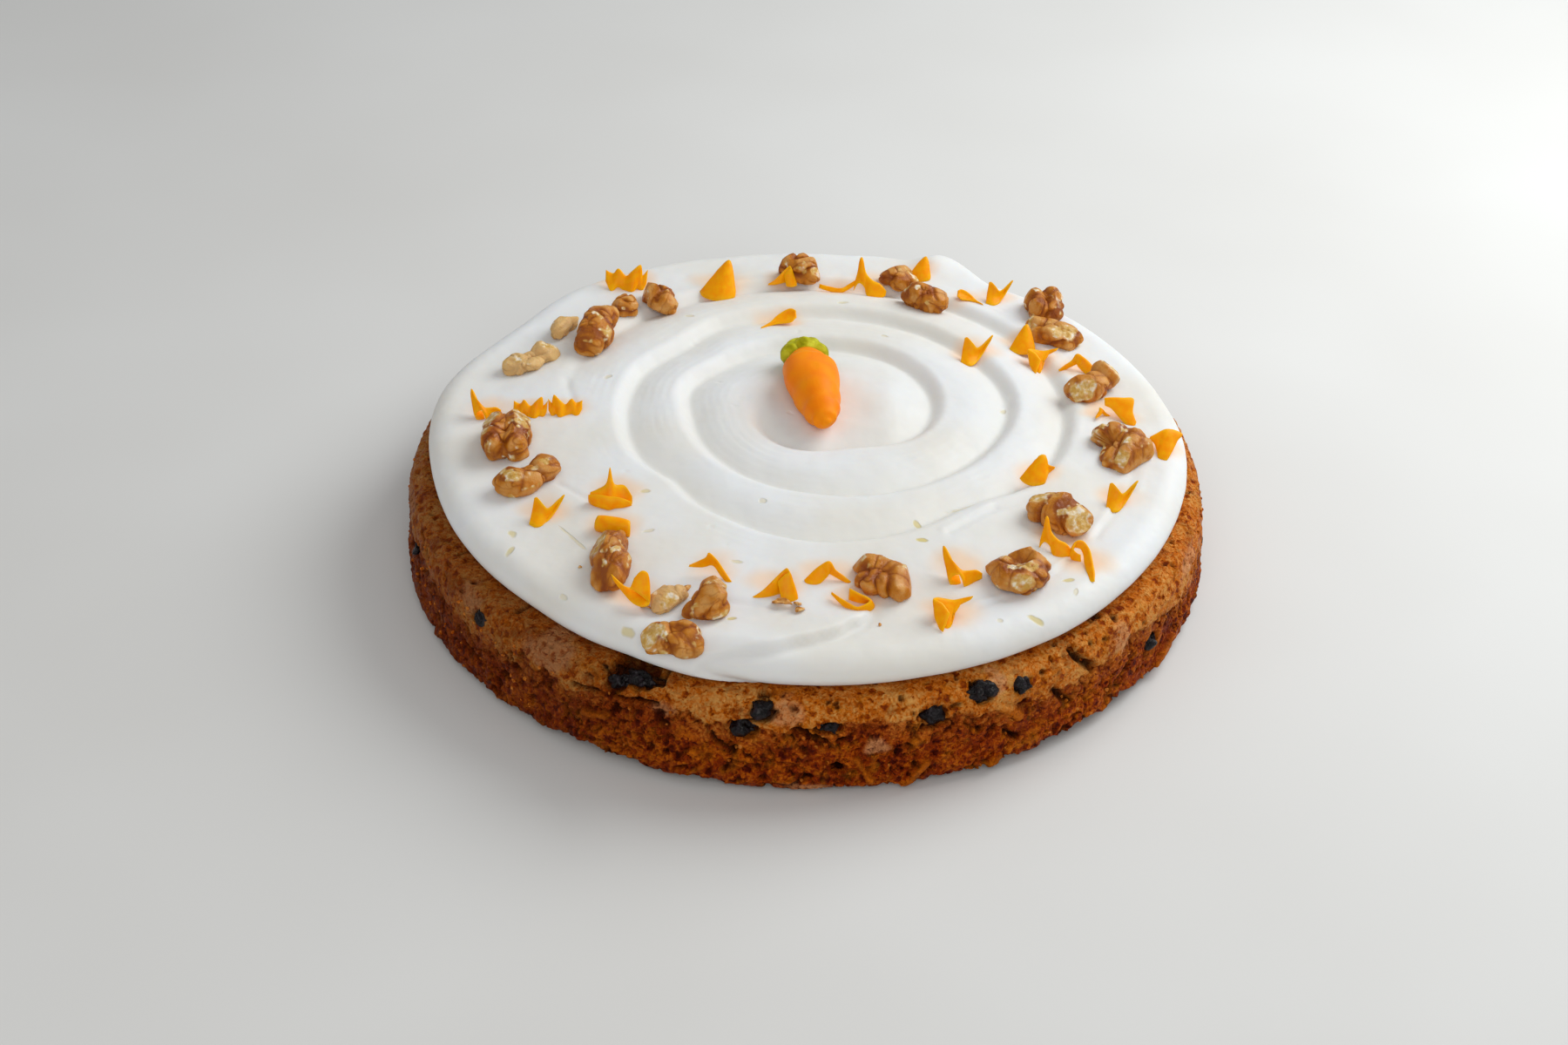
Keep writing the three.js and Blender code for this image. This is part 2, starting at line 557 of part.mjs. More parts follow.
// A curl is a thin shaving, drawn as it is seen from the front and from CURLS_SEEN_FROM
// degrees above the icing. Each station lies across it, from one edge to the other, and
// holds two or three points: [right, up, height], as shares of the curl's size.
const CURLS_SEEN_FROM = 35;
const curlKinds = {
  lily: [
    [-0.04, -0.72, 0.12, -0.16, -0.3, 0.35],
    [-0.22, -0.93, 0, -0.42, -0.15, 0.5],
    [-0.46, -0.84, 0.08, -0.72, 0.4, 0.95],
    [-0.58, -0.55, 0.35, -0.93, 0.92, 1.42],
    [-0.4, -0.3, 0.62, -0.83, 1, 1.5],
    [-0.16, -0.27, 0.7, -0.52, 0.42, 1.15],
    [0, -0.5, 0.5, -0.1, -0.02, 0.8],
    [0.14, -0.86, 0.05, 0.25, -0.05, 0.75],
    [0.6, -0.56, 0.12, 0.62, -0.02, 0.72],
    [0.9, -0.4, 0.25, 0.88, -0.16, 0.5],
  ],
  vee: [
    [-0.83, -0.7, 0.05, -0.72, 0.03, 0.43, -0.62, 0.7, 1.05],
    [-0.72, -0.8, 0, -0.58, 0, 0.43, -0.45, 0.75, 1.1],
    [-0.45, -0.9, 0, -0.28, -0.22, 0.3, -0.12, 0.4, 0.85],
    [-0.15, -0.86, 0, -0.02, -0.31, 0.19, 0.1, 0.18, 0.62],
    [0.12, -0.62, 0.05, 0.23, -0.13, 0.24, 0.34, 0.3, 0.66],
    [0.5, -0.05, 0.35, 0.58, 0.31, 0.52, 0.66, 0.62, 0.92],
    [0.93, 0.8, 0.98, 0.98, 0.88, 1.02, 1.02, 0.94, 1.1],
  ],
  boat: [
    [-1.02, -0.28, 0.52, -1.04, -0.58, 0.04, -0.96, -0.16, 0.46],
    [-0.7, -0.26, 0.6, -0.72, -0.76, 0, -0.62, 0, 0.62],
    [-0.3, -0.3, 0.62, -0.3, -0.84, 0, -0.22, 0.28, 0.92],
    [-0.05, -0.33, 0.6, -0.03, -0.87, 0, -0.06, 1.02, 1.55],
    [0.2, -0.35, 0.58, 0.24, -0.86, 0, 0.14, 0.28, 0.9],
    [0.55, -0.4, 0.54, 0.6, -0.8, 0, 0.62, 0.2, 0.78],
    [0.96, -0.55, 0.34, 1, -0.68, 0.06, 0.98, -0.3, 0.5],
  ],
  barrel: [
    [-0.98, -0.25, 0.08, 0.9, -0.6, 0.04],
    [-1.04, -0.1, 0.42, 0.96, -0.42, 0.36],
    [-1, 0.26, 0.82, 0.98, -0.04, 0.76],
    [-0.88, 0.54, 0.96, 0.95, 0.28, 0.92],
    [-0.8, 0.55, 0.72, 0.86, 0.32, 0.68],
    [-0.78, 0.32, 0.36, 0.82, 0.08, 0.34],
  ],
  bell: [
    [0.05, 0.02, 0.75, 0.22, 0.5, 1.05],
    [0.35, -0.16, 0.62, 0.5, 0.84, 1.3],
    [0.72, -0.42, 0.4, 0.74, 0.9, 1.36],
    [1.02, -0.68, 0.12, 0.92, 0.72, 1.2],
    [0.96, -0.84, 0, 0.9, 0.1, 0.5],
    [0.62, -0.9, 0, 0.62, -0.1, 0.3],
    [0.12, -0.68, 0.05, 0.12, 0.02, 0.34],
    [-0.4, -0.18, 0.25, -0.28, 0.12, 0.48],
    [-0.88, 0.44, 0.6, -0.98, 0.68, 0.8],
  ],
  arch: [
    [-1.15, 0.1, 0.75, -1.12, 0.2, 0.82],
    [-0.65, 0.08, 0.68, -0.74, 0.38, 0.95],
    [-0.3, 0.12, 0.72, -0.32, 0.6, 1.2],
    [-0.05, 0.2, 0.8, -0.14, 0.84, 1.45],
    [0.15, 0.1, 0.65, 0.26, 0.5, 1.1],
    [0.45, -0.3, 0.32, 0.62, 0, 0.6],
    [0.84, -0.76, 0, 1.02, -0.58, 0.18],
  ],
  tent: [
    [-1.15, -0.64, 0, -1.12, -0.54, 0.06],
    [-0.7, -0.62, 0, -0.66, -0.22, 0.35],
    [-0.28, -0.52, 0.04, -0.15, 0.3, 0.8],
    [0.15, -0.4, 0.05, 0.24, 0.7, 1.12],
    [0.6, -0.42, 0.02, 0.42, 0.82, 1.26],
    [0.97, -0.62, 0, 0.5, 0.66, 1.16],
    [0.64, -0.76, 0, 0.3, 0.5, 1.02],
    [0.22, -0.72, 0.02, 0, 0.18, 0.74],
  ],
  roof: [
    [-1.05, -0.45, 0, -1.12, -0.24, 0.12],
    [-0.55, -0.5, 0, -0.66, 0.24, 0.5],
    [-0.12, -0.14, 0.2, -0.34, 0.5, 0.75],
    [-0.02, 0, 0.35, -0.06, 0.66, 0.92],
    [0.04, 0.06, 0.35, 0.12, 0.6, 0.86],
    [0.28, -0.06, 0.25, 0.32, 0.28, 0.56],
    [0.62, -0.24, 0.12, 0.68, 0.02, 0.36],
    [0.98, -0.4, 0, 1.03, -0.26, 0.14],
  ],
  scoop: [
    [-1.22, 0.28, 0.48, -1.18, 0.4, 0.55],
    [-0.8, -0.14, 0.28, -0.7, 0.1, 0.48],
    [-0.3, -0.5, 0.08, -0.16, -0.2, 0.45],
    [0.25, -0.66, 0, 0.2, -0.34, 0.42],
    [0.75, -0.64, 0, 0.6, -0.2, 0.5],
    [1.1, -0.36, 0.12, 0.86, 0.02, 0.62],
    [0.92, -0.14, 0.1, 0.66, 0.2, 0.72],
    [0.4, -0.22, 0.06, 0.25, 0.38, 0.8],
    [-0.28, -0.06, 0.12, -0.24, 0.62, 0.86],
  ],
  funnel: [
    [-0.46, -0.76, 0.15, -0.15, 0.1, 0.72],
    [-0.62, -0.62, 0.15, -0.5, 0.55, 0.98],
    [-0.76, -0.26, 0.3, -0.9, 0.72, 1.06],
    [-0.62, -0.36, 0.04, -0.7, 0.8, 0.9],
    [-0.3, -0.72, 0, -0.3, 0.74, 0.76],
    [-0.08, -0.56, 0.05, 0.05, 0.7, 0.72],
    [0, -0.08, 0.32, 0.35, 0.76, 0.76],
    [0.32, 0.44, 0.58, 0.65, 0.84, 0.84],
    [0.85, 0.76, 0.84, 0.95, 0.89, 0.92],
  ],
  spur: [
    [-1.04, -0.6, 0.1, -0.98, -0.2, 0.42],
    [-0.82, -0.24, 0.45, -0.8, 0.62, 1.1],
    [-0.62, -0.28, 0.48, -0.72, 1.12, 1.56],
    [-0.46, -0.5, 0.34, -0.58, 1.08, 1.52],
    [-0.38, -0.82, 0.1, -0.4, 0.36, 0.98],
    [-0.2, -1.04, 0, -0.05, -0.05, 0.72],
    [0.28, -1.06, 0, 0.36, -0.25, 0.58],
    [0.64, -0.88, 0.04, 0.7, -0.62, 0.28],
  ],
  hook: [
    [-0.05, -0.02, 0.04, -0.1, 0.36, 0.42],
    [-0.34, -0.02, 0, -0.3, 0.46, 0.46],
    [-0.6, 0.22, 0.2, -0.48, 0.7, 0.7],
    [-0.5, 0.66, 0.54, -0.3, 1.06, 0.92],
    [-0.12, 0.66, 0.54, 0.04, 1.06, 0.92],
    [0.04, 0.36, 0.36, 0.34, 0.68, 0.68],
    [0.08, -0.06, 0.16, 0.46, 0.14, 0.46],
    [0.18, -0.56, 0.04, 0.54, -0.48, 0.24],
    [0.28, -1, 0, 0.5, -0.95, 0.08],
  ],
  cone: [
    [1.16, 0.1, 0.52, 1.2, 0.24, 0.62],
    [0.82, -0.2, 0.26, 0.76, 0.4, 0.78],
    [0.7, -0.5, 0.1, 0.64, 0.8, 1.14],
    [0.5, -0.86, 0, 0.56, 0.95, 1.28],
    [0.05, -1.02, 0, 0.42, 1, 1.34],
    [-0.5, -0.98, 0, 0.28, 0.96, 1.3],
    [-0.86, -0.78, 0, 0.1, 0.84, 1.18],
    [-1.03, -0.55, 0.05, -0.14, 0.6, 1],
  ],
  cap: [
    [0.66, -0.6, 0.05, 0.46, 0.62, 1.02],
    [0.6, -0.86, 0, 0.44, 0.84, 1.2],
    [0.1, -1.02, 0, 0.36, 0.94, 1.3],
    [-0.42, -0.98, 0, 0.26, 0.92, 1.28],
    [-0.84, -0.8, 0, 0.1, 0.8, 1.14],
    [-0.98, -0.55, 0.05, -0.08, 0.56, 0.95],
  ],
  trumpet: [
    [-0.82, 0.24, 0.58, -0.72, 0.38, 0.66],
    [-0.5, -0.05, 0.4, -0.36, 0.6, 0.86],
    [-0.36, -0.6, 0.1, 0, 0.8, 1],
    [-0.3, -0.95, 0, 0.26, 0.86, 1.06],
    [0.05, -1.06, 0, 0.56, 0.84, 1.02],
    [0.32, -0.78, 0.1, 0.86, 0.75, 0.96],
    [0.72, 0, 0.5, 1.05, 0.66, 0.88],
    [1.08, 0.44, 0.74, 1.18, 0.56, 0.8],
  ],
  drape: [
    [-0.42, 0.38, 0.7, -0.44, 0.78, 0.92],
    [-0.1, 0.24, 0.6, 0, 0.82, 0.98],
    [0.16, -0.05, 0.42, 0.5, 0.82, 0.98],
    [0.46, -0.4, 0.22, 1.08, 0.78, 0.92],
    [0.76, -0.68, 0.04, 1.04, 0.1, 0.5],
    [1.1, -0.74, 0, 1.2, -0.45, 0.12],
  ],
  spoon: [
    [-1, -0.66, 0.02, -0.98, -0.6, 0.04, -0.96, -0.54, 0.07],
    [-0.55, -0.46, 0.04, -0.53, -0.37, 0.06, -0.5, -0.26, 0.14],
    [-0.12, -0.34, 0.1, -0.15, -0.14, 0.12, -0.18, 0.1, 0.3],
    [0.32, -0.3, 0.16, 0.29, 0.04, 0.22, 0.26, 0.42, 0.52],
    [0.66, -0.22, 0.24, 0.63, 0.14, 0.32, 0.6, 0.54, 0.62],
    [0.9, 0.06, 0.38, 0.88, 0.22, 0.42, 0.84, 0.42, 0.58],
  ],
  ribbon: [
    [-1.15, -0.06, 0.1, -1.12, 0.18, 0.24],
    [-0.55, -0.26, 0.06, -0.52, 0.02, 0.22],
    [0.1, -0.34, 0.02, 0.12, -0.06, 0.2],
    [0.62, -0.08, 0.1, 0.56, 0.2, 0.34],
    [1.22, 0.4, 0.42, 1.18, 0.62, 0.62],
  ],
  ragged: [
    [-1, -0.1, 0.3, -1, 0.45, 0.75],
    [-0.7, -0.62, 0, -0.62, 0.3, 0.6],
    [-0.38, -0.4, 0.1, -0.36, 0.52, 0.9],
    [-0.05, -0.58, 0, 0, 0.18, 0.55],
    [0.3, -0.7, 0, 0.3, 0.4, 0.85],
    [0.55, -0.45, 0.1, 0.7, 0.72, 1.1],
    [0.78, -0.6, 0, 0.78, 0.22, 0.6],
    [0.98, -0.2, 0.25, 1.06, 0.5, 0.85],
  ],
};

// The curls: [x, y, kind, size, degrees turned, 1 or -1 for a mirrored one].
const curls = [
  [-76.4, -50.8, "vee", 5.4, 0, 1],
  [-57.5, -41, "boat", 6.4, 0, 1],
  [-55.6, -59.3, "barrel", 5.3, 0, 1],
  [-48.5, -91, "bell", 5.6, 0, 1],
  [-26, -77.9, "arch", 5.7, 0, 1],
  [-7.1, -84.7, "tent", 6.2, 0, 1],
  [7.4, -80, "roof", 6.2, 0, 1],
  [14.6, -89.8, "scoop", 5.3, 0, 1],
  [45.7, -73.6, "lily", 6.3, 0, 1],
  [42.3, -95.3, "funnel", 6.1, 0, 1],
  [74.4, -57.2, "spur", 5.5, 0, 1],
  [81, -68.1, "hook", 5.7, 0, 1],
  [69.8, -24.3, "cone", 4.8, 0, 1],
  [94.5, -34.7, "vee", 5.3, 0, 1],
  [110.3, -4.9, "trumpet", 5.3, 0, 1],
  [96.2, 12.1, "drape", 6.1, 0, 1],
  [90.8, 9.8, "arch", 3.2, 50, 1],
  [87, 39.3, "roof", 5.8, 0, -1],
  [76.2, 43.1, "funnel", 5.4, 0, 1],
  [69.5, 55, "cap", 5.1, 12, 1],
  [54.2, 46.4, "vee", 5.7, 0, 1],
  [63.5, 85, "vee", 5, 0, 1],
  [53.9, 82.5, "spoon", 4.6, 0, -1],
  [37.9, 100.9, "cap", 4.6, 0, 1],
  [21.4, 93.3, "spur", 6.4, 0, 1],
  [9.7, 88.7, "ribbon", 5.9, 0, 1],
  [-9.2, 91.7, "tent", 4.6, 0, 1],
  [-30.3, 89.1, "cap", 7.3, 0, 1],
  [-62.7, 88.9, "ragged", 7, 0, 1],
  [-9.9, 63.1, "spoon", 6.2, 0, 1],
  [-100.4, 6.2, "lily", 5.3, 0, 1],
  [-86.5, 3.5, "ragged", 5.2, 0, 1],
  [-75.5, 4.2, "ragged", 5.2, 0, -1],
];
const CURL_SINK = 0.012;

// The points of a station, in millimetres.
function curlPoints(station, size) {
  const slope = radians(CURLS_SEEN_FROM);
  const points = [];
  for (let i = 0; i < station.length; i += 3) {
    const [right, up, height] = station.slice(i, i + 3);
    const y = (up - height * Math.cos(slope)) / Math.sin(slope);
    points.push(new THREE.Vector3(right, y, height).multiplyScalar(size));
  }
  return points;
}

// A thin closed sheet: the face moved half the thickness each way along its normals.
function makeCurl([, , kind, size, yaw, side]) {
  const stations = curlKinds[kind];
  const wide = stations[0].length / 3;
  const columns = wide - 1;
  const last = stations.length - 1;
  const face = stations.flatMap((station) => curlPoints(station, size));
  const at = (row, column) => row * wide + column;
  const flat = [];
  for (let row = 0; row < last; row += 1) {
    for (let column = 0; column < columns; column += 1) {
      flat.push([at(row, column), at(row, column + 1), at(row + 1, column + 1)]);
      flat.push([at(row, column), at(row + 1, column + 1), at(row + 1, column)]);
    }
  }
  const normals = face.map(() => new THREE.Vector3());
  for (const corners of flat) {
    const [a, b, c] = corners.map((i) => face[i]);
    const normal = new THREE.Vector3().subVectors(b, a).cross(new THREE.Vector3().subVectors(c, a));
    corners.forEach((i) => normals[i].add(normal));
  }
  const shifted = (sign) =>
    face.map((p, i) =>
      p.clone().addScaledVector(normals[i].clone().normalize(), (sign * CURL_THICKNESS) / 2).toArray(),
    );
  const count = face.length;
  const edge = [];
  for (let row = 0; row < last; row += 1) edge.push(at(row, 0));
  for (let column = 0; column < columns; column += 1) edge.push(at(last, column));
  for (let row = last; row > 0; row -= 1) edge.push(at(row, columns));
  for (let column = columns; column > 0; column -= 1) edge.push(at(0, column));
  const triangles = flat.flatMap(([a, b, c]) => [
    [a, b, c],
    [a + count, c + count, b + count],
  ]);
  edge.forEach((a, i) => {
    const b = edge[(i + 1) % edge.length];
    triangles.push([a, b, b + count], [a, b + count, a + count]);
  });
  const sheet = solidFrom([...shifted(1), ...shifted(-1)], triangles);
  const turned = side < 0 ? sheet.mirror([1, 0, 0]) : sheet;
  return turned.rotate([0, 0, yaw]);
}

// ---------------------------------------------------------------- putting pieces down

const HIGHEST_DROP = 35; // toppings start falling from this far above the icing
const SETTLE_STEPS = 12;

function boxesMeet(a, b) {
  const first = a.boundingBox();
  const second = b.boundingBox();
  return [0, 1, 2].every(
    (k) => first.min[k] < second.max[k] + AIR && second.min[k] < first.max[k] + AIR,
  );
}

// Lowers a solid onto the ground until the given share of it would lie inside.
function settle(solid, [x, y], ground, share) {
  let high = ICING_CENTRE_TOP + HIGHEST_DROP;
  let low = SPONGE_HEIGHT;
  const whole = solid.volume();
  for (let step = 0; step < SETTLE_STEPS; step += 1) {
    const middle = (high + low) / 2;
    const sunk = solid.translate([x, y, middle]).intersect(ground).volume();
    if (sunk > share * whole) low = middle;
    else high = middle;
  }
  return [x, y, high];
}

// Cuts a settled solid clear of the icing below it and of the toppings that it touches.
function clearOf(solid, icing, toppings) {
  const near = toppings.filter((other) => boxesMeet(solid, other));
  const steps = [[AIR, 0, 0], [-AIR, 0, 0], [0, AIR, 0], [0, -AIR, 0], [0, 0, AIR], [0, 0, -AIR]];
  const blocks = near.flatMap((other) => [other, ...steps.map((step) => other.translate(step))]);
  const cut = solid.subtract(wasm.Manifold.union([icing.translate([0, 0, AIR]), ...blocks]));
  return largestPiece(cut).asOriginal().simplify(TOPPING_TOLERANCE);
}

// ---------------------------------------------------------------- the cake

const cake = new THREE.Group();
const sponge = makeSponge();
const icing = makeIcing();
const toppings = [];

function put(name, solid, colour, shine, place) {
  const clear = clearOf(solid, icing, toppings);
  toppings.push(clear);
  cake.add(meshOf(name, clear, colour, shine, place));
}

function putDown(name, solid, spot, share, colour, shine) {
  const [x, y] = spot;
  const near = toppings.filter((other) => boxesMeet(solid.translate([x, y, ICING_CENTRE_TOP]), other));
  const place = settle(solid, spot, wasm.Manifold.union([icing, ...near]), share);
  put(name, solid.translate(place), colour, shine, place);
}

const numbered = (word, n) => `${word}_${String(n + 1).padStart(2, "0")}`;

cake.add(meshOf("sponge", sponge, colours.sponge, 0.9));
cake.add(meshOf("icing", icing, colours.icing, 0.45));
const carrot = carrotPlace();
put("carrot_body", makeCarrotBody(carrot), colours.carrot, 0.5, carrot.centre);
put("carrot_top", makeCarrotTop(carrot), colours.carrotTop, 0.6, carrot.centre);
walnuts.forEach((walnut, n) => {
  putDown(numbered("walnut", n), makeNut(walnut, n), walnut, NUT_SINK, colours.walnut, 0.55);
});
curls.forEach((curl, n) => {
  putDown(numbered("curl", n), makeCurl(curl), curl, CURL_SINK, colours.curl, 0.5);
});

export default cake;
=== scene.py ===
# %% [markdown]
# # A round carrot cake
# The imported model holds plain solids: one baked layer, its icing, a marzipan carrot, walnut
# pieces and carrot curls. This lesson gives each of them the surface of the real thing.
# Nothing is moved: every new piece is worked out from the same sizes as the solid that it
# stands for, and takes its height from that solid's box.

import math

import bmesh
import bpy
import numpy as np
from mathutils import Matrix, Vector


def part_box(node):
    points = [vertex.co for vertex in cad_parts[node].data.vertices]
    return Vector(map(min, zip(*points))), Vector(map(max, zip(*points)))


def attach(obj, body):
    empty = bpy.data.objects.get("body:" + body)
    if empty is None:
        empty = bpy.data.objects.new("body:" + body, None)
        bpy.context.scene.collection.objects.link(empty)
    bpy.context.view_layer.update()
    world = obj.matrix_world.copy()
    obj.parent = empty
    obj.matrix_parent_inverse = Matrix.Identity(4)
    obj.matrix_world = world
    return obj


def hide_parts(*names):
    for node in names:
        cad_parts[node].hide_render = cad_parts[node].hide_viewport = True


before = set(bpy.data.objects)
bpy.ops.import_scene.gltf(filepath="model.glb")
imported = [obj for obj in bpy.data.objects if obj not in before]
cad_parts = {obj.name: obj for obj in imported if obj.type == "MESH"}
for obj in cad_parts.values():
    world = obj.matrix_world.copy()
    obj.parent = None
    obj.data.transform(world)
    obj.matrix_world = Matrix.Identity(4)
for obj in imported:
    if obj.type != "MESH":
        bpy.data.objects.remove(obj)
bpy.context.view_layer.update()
MM = 0.001  # shapes are worked out in millimetres, and the scene is in metres
print("solids in the frame:", len(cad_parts))

# %% [markdown]
# ## The camera
# A cake on a table is looked at from above, at about 35 degrees. A lens of 58 mm on a
# full-frame camera keeps its round shape calm. The camera could be aimed with a tracking
# constraint, but a plain place and three angles are easier to repeat.

# %% Place the camera
CAMERA_PLACE = (0.0, -664.7, 471.1)
CAMERA_TURN = (54.99, -0.99, 1.25)  # degrees about x, y and z
CAMERA_LENS = 58

camera = bpy.data.objects.new("camera", bpy.data.cameras.new("camera"))
camera.data.lens = CAMERA_LENS
camera.location = Vector(CAMERA_PLACE) * MM
camera.rotation_euler = [math.radians(angle) for angle in CAMERA_TURN]
bpy.context.scene.collection.objects.link(camera)
bpy.context.scene.camera = camera
print("camera", round(camera.location.length, 3), "m from the middle of the cake's base")

# %% [markdown]
# ## Light
# The cake stands near a large window: soft light comes from the right and a little from
# behind. A second, weaker one is in front, and a faint warm bounce fills the left. Area
# lights are the studio's windows. The world is a pale even grey, so that shadows stay open.

# %% Place the lights
def add_window(name, place, size, power, colour):
    """A large soft light at a place in millimetres, aimed at the top of the cake."""
    window = bpy.data.objects.new(name, bpy.data.lights.new(name, "AREA"))
    window.data.shape = "DISK"
    window.data.size = size * MM
    window.data.energy = power
    window.data.color = colour
    window.location = Vector(place) * MM
    aim = Vector((0, 0, 40 * MM)) - window.location
    window.rotation_euler = aim.to_track_quat("-Z", "Y").to_euler()
    bpy.context.scene.collection.objects.link(window)


add_window("window_right", (520, 330, 560), 620, 5.0, (0.97, 1.0, 1.0))
add_window("window_front", (0, -900, 700), 700, 3.0, (1.0, 0.985, 0.96))
add_window("bounce_left", (-700, -100, 260), 500, 0.1, (1.0, 0.85, 0.7))

world = bpy.data.worlds.new("studio")
world.use_nodes = True
world.node_tree.nodes["Background"].inputs["Color"].default_value = (0.97, 0.985, 1.0, 1)
world.node_tree.nodes["Background"].inputs["Strength"].default_value = 0.4
bpy.context.scene.world = world
bpy.context.scene.view_settings.view_transform = "Standard"
print("lights:", [item.name for item in bpy.data.lights])

# %% [markdown]
# ## Small maths
# Shapes here are arrays of points. A table gives a value at a few stops, and the helpers
# join the stops smoothly. numpy works on all points at once, which is much faster than a
# loop over vertices.

# %% Join the stops of a table
def along(table, x):
    """Value at x of a smooth line through [stop, value] rows."""
    stops, values = np.array(table, float).T
    x = np.asarray(x, float)
    place = np.clip(np.searchsorted(stops, x, side="right") - 1, 0, len(stops) - 2)
    share = np.clip((x - stops[place]) / (stops[place + 1] - stops[place]), 0, 1)
    return values[place] + (values[place + 1] - values[place]) * share * share * (3 - 2 * share)


def ramp(x, low, high):
    """0 below low, 1 above high, and a smooth rise between."""
    share = np.clip((np.asarray(x, float) - low) / (high - low), 0, 1)
    return share * share * (3 - 2 * share)


def through(stations, t):
    """A smooth curve through rows of numbers, at each t from 0 to 1."""
    rows = np.array(stations, float)
    place = np.asarray(t, float) * (len(rows) - 1)
    first = np.minimum(np.floor(place).astype(int), len(rows) - 2)
    f = (place - first)[:, None]
    p0, p1, p2, p3 = (rows[np.clip(first + k, 0, len(rows) - 1)] for k in (-1, 0, 1, 2))
    bend = (2 * p0 - 5 * p1 + 4 * p2 - p3) * f + (3 * p1 - p0 - 3 * p2 + p3) * f * f
    return p1 + 0.5 * f * (p2 - p0 + bend)


print("half way up a ramp:", float(ramp(0.5, 0, 1)))

# %% [markdown]
# ## Unevenness
# Food is never even. Soft bumps come from random numbers at the corners of a lattice of
# cells, joined smoothly; pores come from the distance to a scatter of dots. Both give the
# same values on every run, because the numbers are worked out from the cell's own place.

# %% Bumps and dots
def scatter(cells, seed):
    """An uneven number from -1 to 1 for each cell."""
    wave = np.sin(cells @ np.array([127.1, 311.7, 74.7]) + seed * 19.19) * 43758.5453
    return 2 * (wave - np.floor(wave)) - 1


def bumps(points, size, seed=0):
    """Soft bumps from -1 to 1, about size millimetres apart."""
    place = points / size
    cell = np.floor(place)
    f = place - cell
    f = f * f * (3 - 2 * f)
    total = np.zeros(len(place))
    for corner in np.ndindex(2, 2, 2):
        share = np.where(np.array(corner, bool), f, 1 - f).prod(axis=1)
        total += share * scatter(cell + corner, seed)
    return total


def layered(points, size, layers=3, seed=0):
    """Bumps upon bumps, each layer half the size and half the height of the last."""
    return sum(bumps(points, size / 2**k, seed + k) / 2**k for k in range(layers))


def to_dots(points, size, seed=0):
    """How far each point lies from the nearest of many dots about size apart, in sizes."""
    place = points / size
    cell = np.floor(place)
    nearest = np.full(len(place), 9.0)
    for step in np.ndindex(3, 3, 3):
        home = cell + np.array(step) - 1
        shift = np.stack([scatter(home, seed + k) for k in range(3)], axis=1)
        nearest = np.minimum(nearest, np.linalg.norm(place - home - 0.5 - 0.45 * shift, axis=1))
    return nearest


def warped(points, size, reach, seed=0):
    """The points pushed about by soft bumps, so that what is drawn there wanders."""
    return points + reach * np.stack([bumps(points, size, seed + k) for k in range(3)], axis=1)


sample = np.random.default_rng(1).uniform(-50, 50, (2000, 3))
print("bumps spread by", round(float(bumps(sample, 5).std()), 2))

# %% [markdown]
# ## Making a piece
# A piece is a mesh whose points are known. Masks that were worked out with the shape, such
# as where a crust ends, are stored on its vertices, and the material reads them as named
# attributes. The piece then rides on the cake's one body and hides the solid it stands for.

# %% Build a mesh from points and faces
def make_piece(name, points, faces, material, stands_for=None, masks=None):
    """A smooth mesh of points in millimetres, with values on its vertices."""
    mesh = bpy.data.meshes.new(name)
    mesh.from_pydata((points * MM).tolist(), [], faces)
    mesh.validate()
    mesh.shade_smooth()
    for title, values in (masks or {}).items():
        layer = mesh.attributes.new(title, "FLOAT", "POINT")
        layer.data.foreach_set("value", np.asarray(values, np.float32))
    mesh.materials.append(material)
    piece = bpy.data.objects.new(name, mesh)
    bpy.context.scene.collection.objects.link(piece)
    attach(piece, "root")
    if stands_for:
        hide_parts(stands_for)
    return piece


# %% Faces of closed rows and of thin sheets
def stacked(bottom, rows, top):
    """Points and faces of stacked closed rows, with one point below and one above them."""
    count = rows.shape[1]
    points = np.concatenate([[bottom], rows.reshape(-1, 3), [top]])
    start = np.arange(len(rows))[:, None] * count + 1
    here = start + np.arange(count)
    there = start + (np.arange(count) + 1) % count
    quads = np.stack([here[:-1], there[:-1], there[1:], here[1:]], axis=2).reshape(-1, 4)
    low = [(0, b, a) for a, b in zip(here[0].tolist(), there[0].tolist())]
    last = len(points) - 1
    high = [(last, a, b) for a, b in zip(here[-1].tolist(), there[-1].tolist())]
    return points, low + quads.tolist() + high


def sheet_faces(long, wide):
    """Faces of a thin sheet: its front, its back and the rim between them."""
    count = long * wide
    number = np.arange(count).reshape(long, wide)
    quads = np.stack([number[:-1, :-1], number[:-1, 1:], number[1:, 1:], number[1:, :-1]], axis=2)
    quads = quads.reshape(-1, 4)
    rim = np.concatenate([number[:-1, 0], number[-1, :-1], number[:0:-1, -1], number[0, :0:-1]])
    after = np.roll(rim, -1)
    sides = np.stack([rim, after, after + count, rim + count], axis=1)
    return np.concatenate([quads, quads[:, ::-1] + count, sides])


print("a sheet of 3 by 3 points has", len(sheet_faces(3, 3)), "faces")


# %% Turn points, make a ball, find a solid's top
def turned(points, angle):
    """The points turned about the upright axis by an angle in degrees."""
    c, s = math.cos(math.radians(angle)), math.sin(math.radians(angle))
    return points @ np.array([[c, s, 0], [-s, c, 0], [0, 0, 1]])


def ball(divisions):
    """Directions and faces of a round ball of small triangles."""
    work = bmesh.new()
    bmesh.ops.create_icosphere(work, subdivisions=divisions, radius=1)
    directions = np.array([vert.co for vert in work.verts])
    faces = [tuple(vert.index for vert in face.verts) for face in work.faces]
    work.free()
    return directions / np.linalg.norm(directions, axis=1)[:, None], faces


def top_of(node):
    """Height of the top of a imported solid, in millimetres."""
    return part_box(node)[1].z / MM


print("the icing's solid reaches", round(top_of("icing"), 1), "mm up")

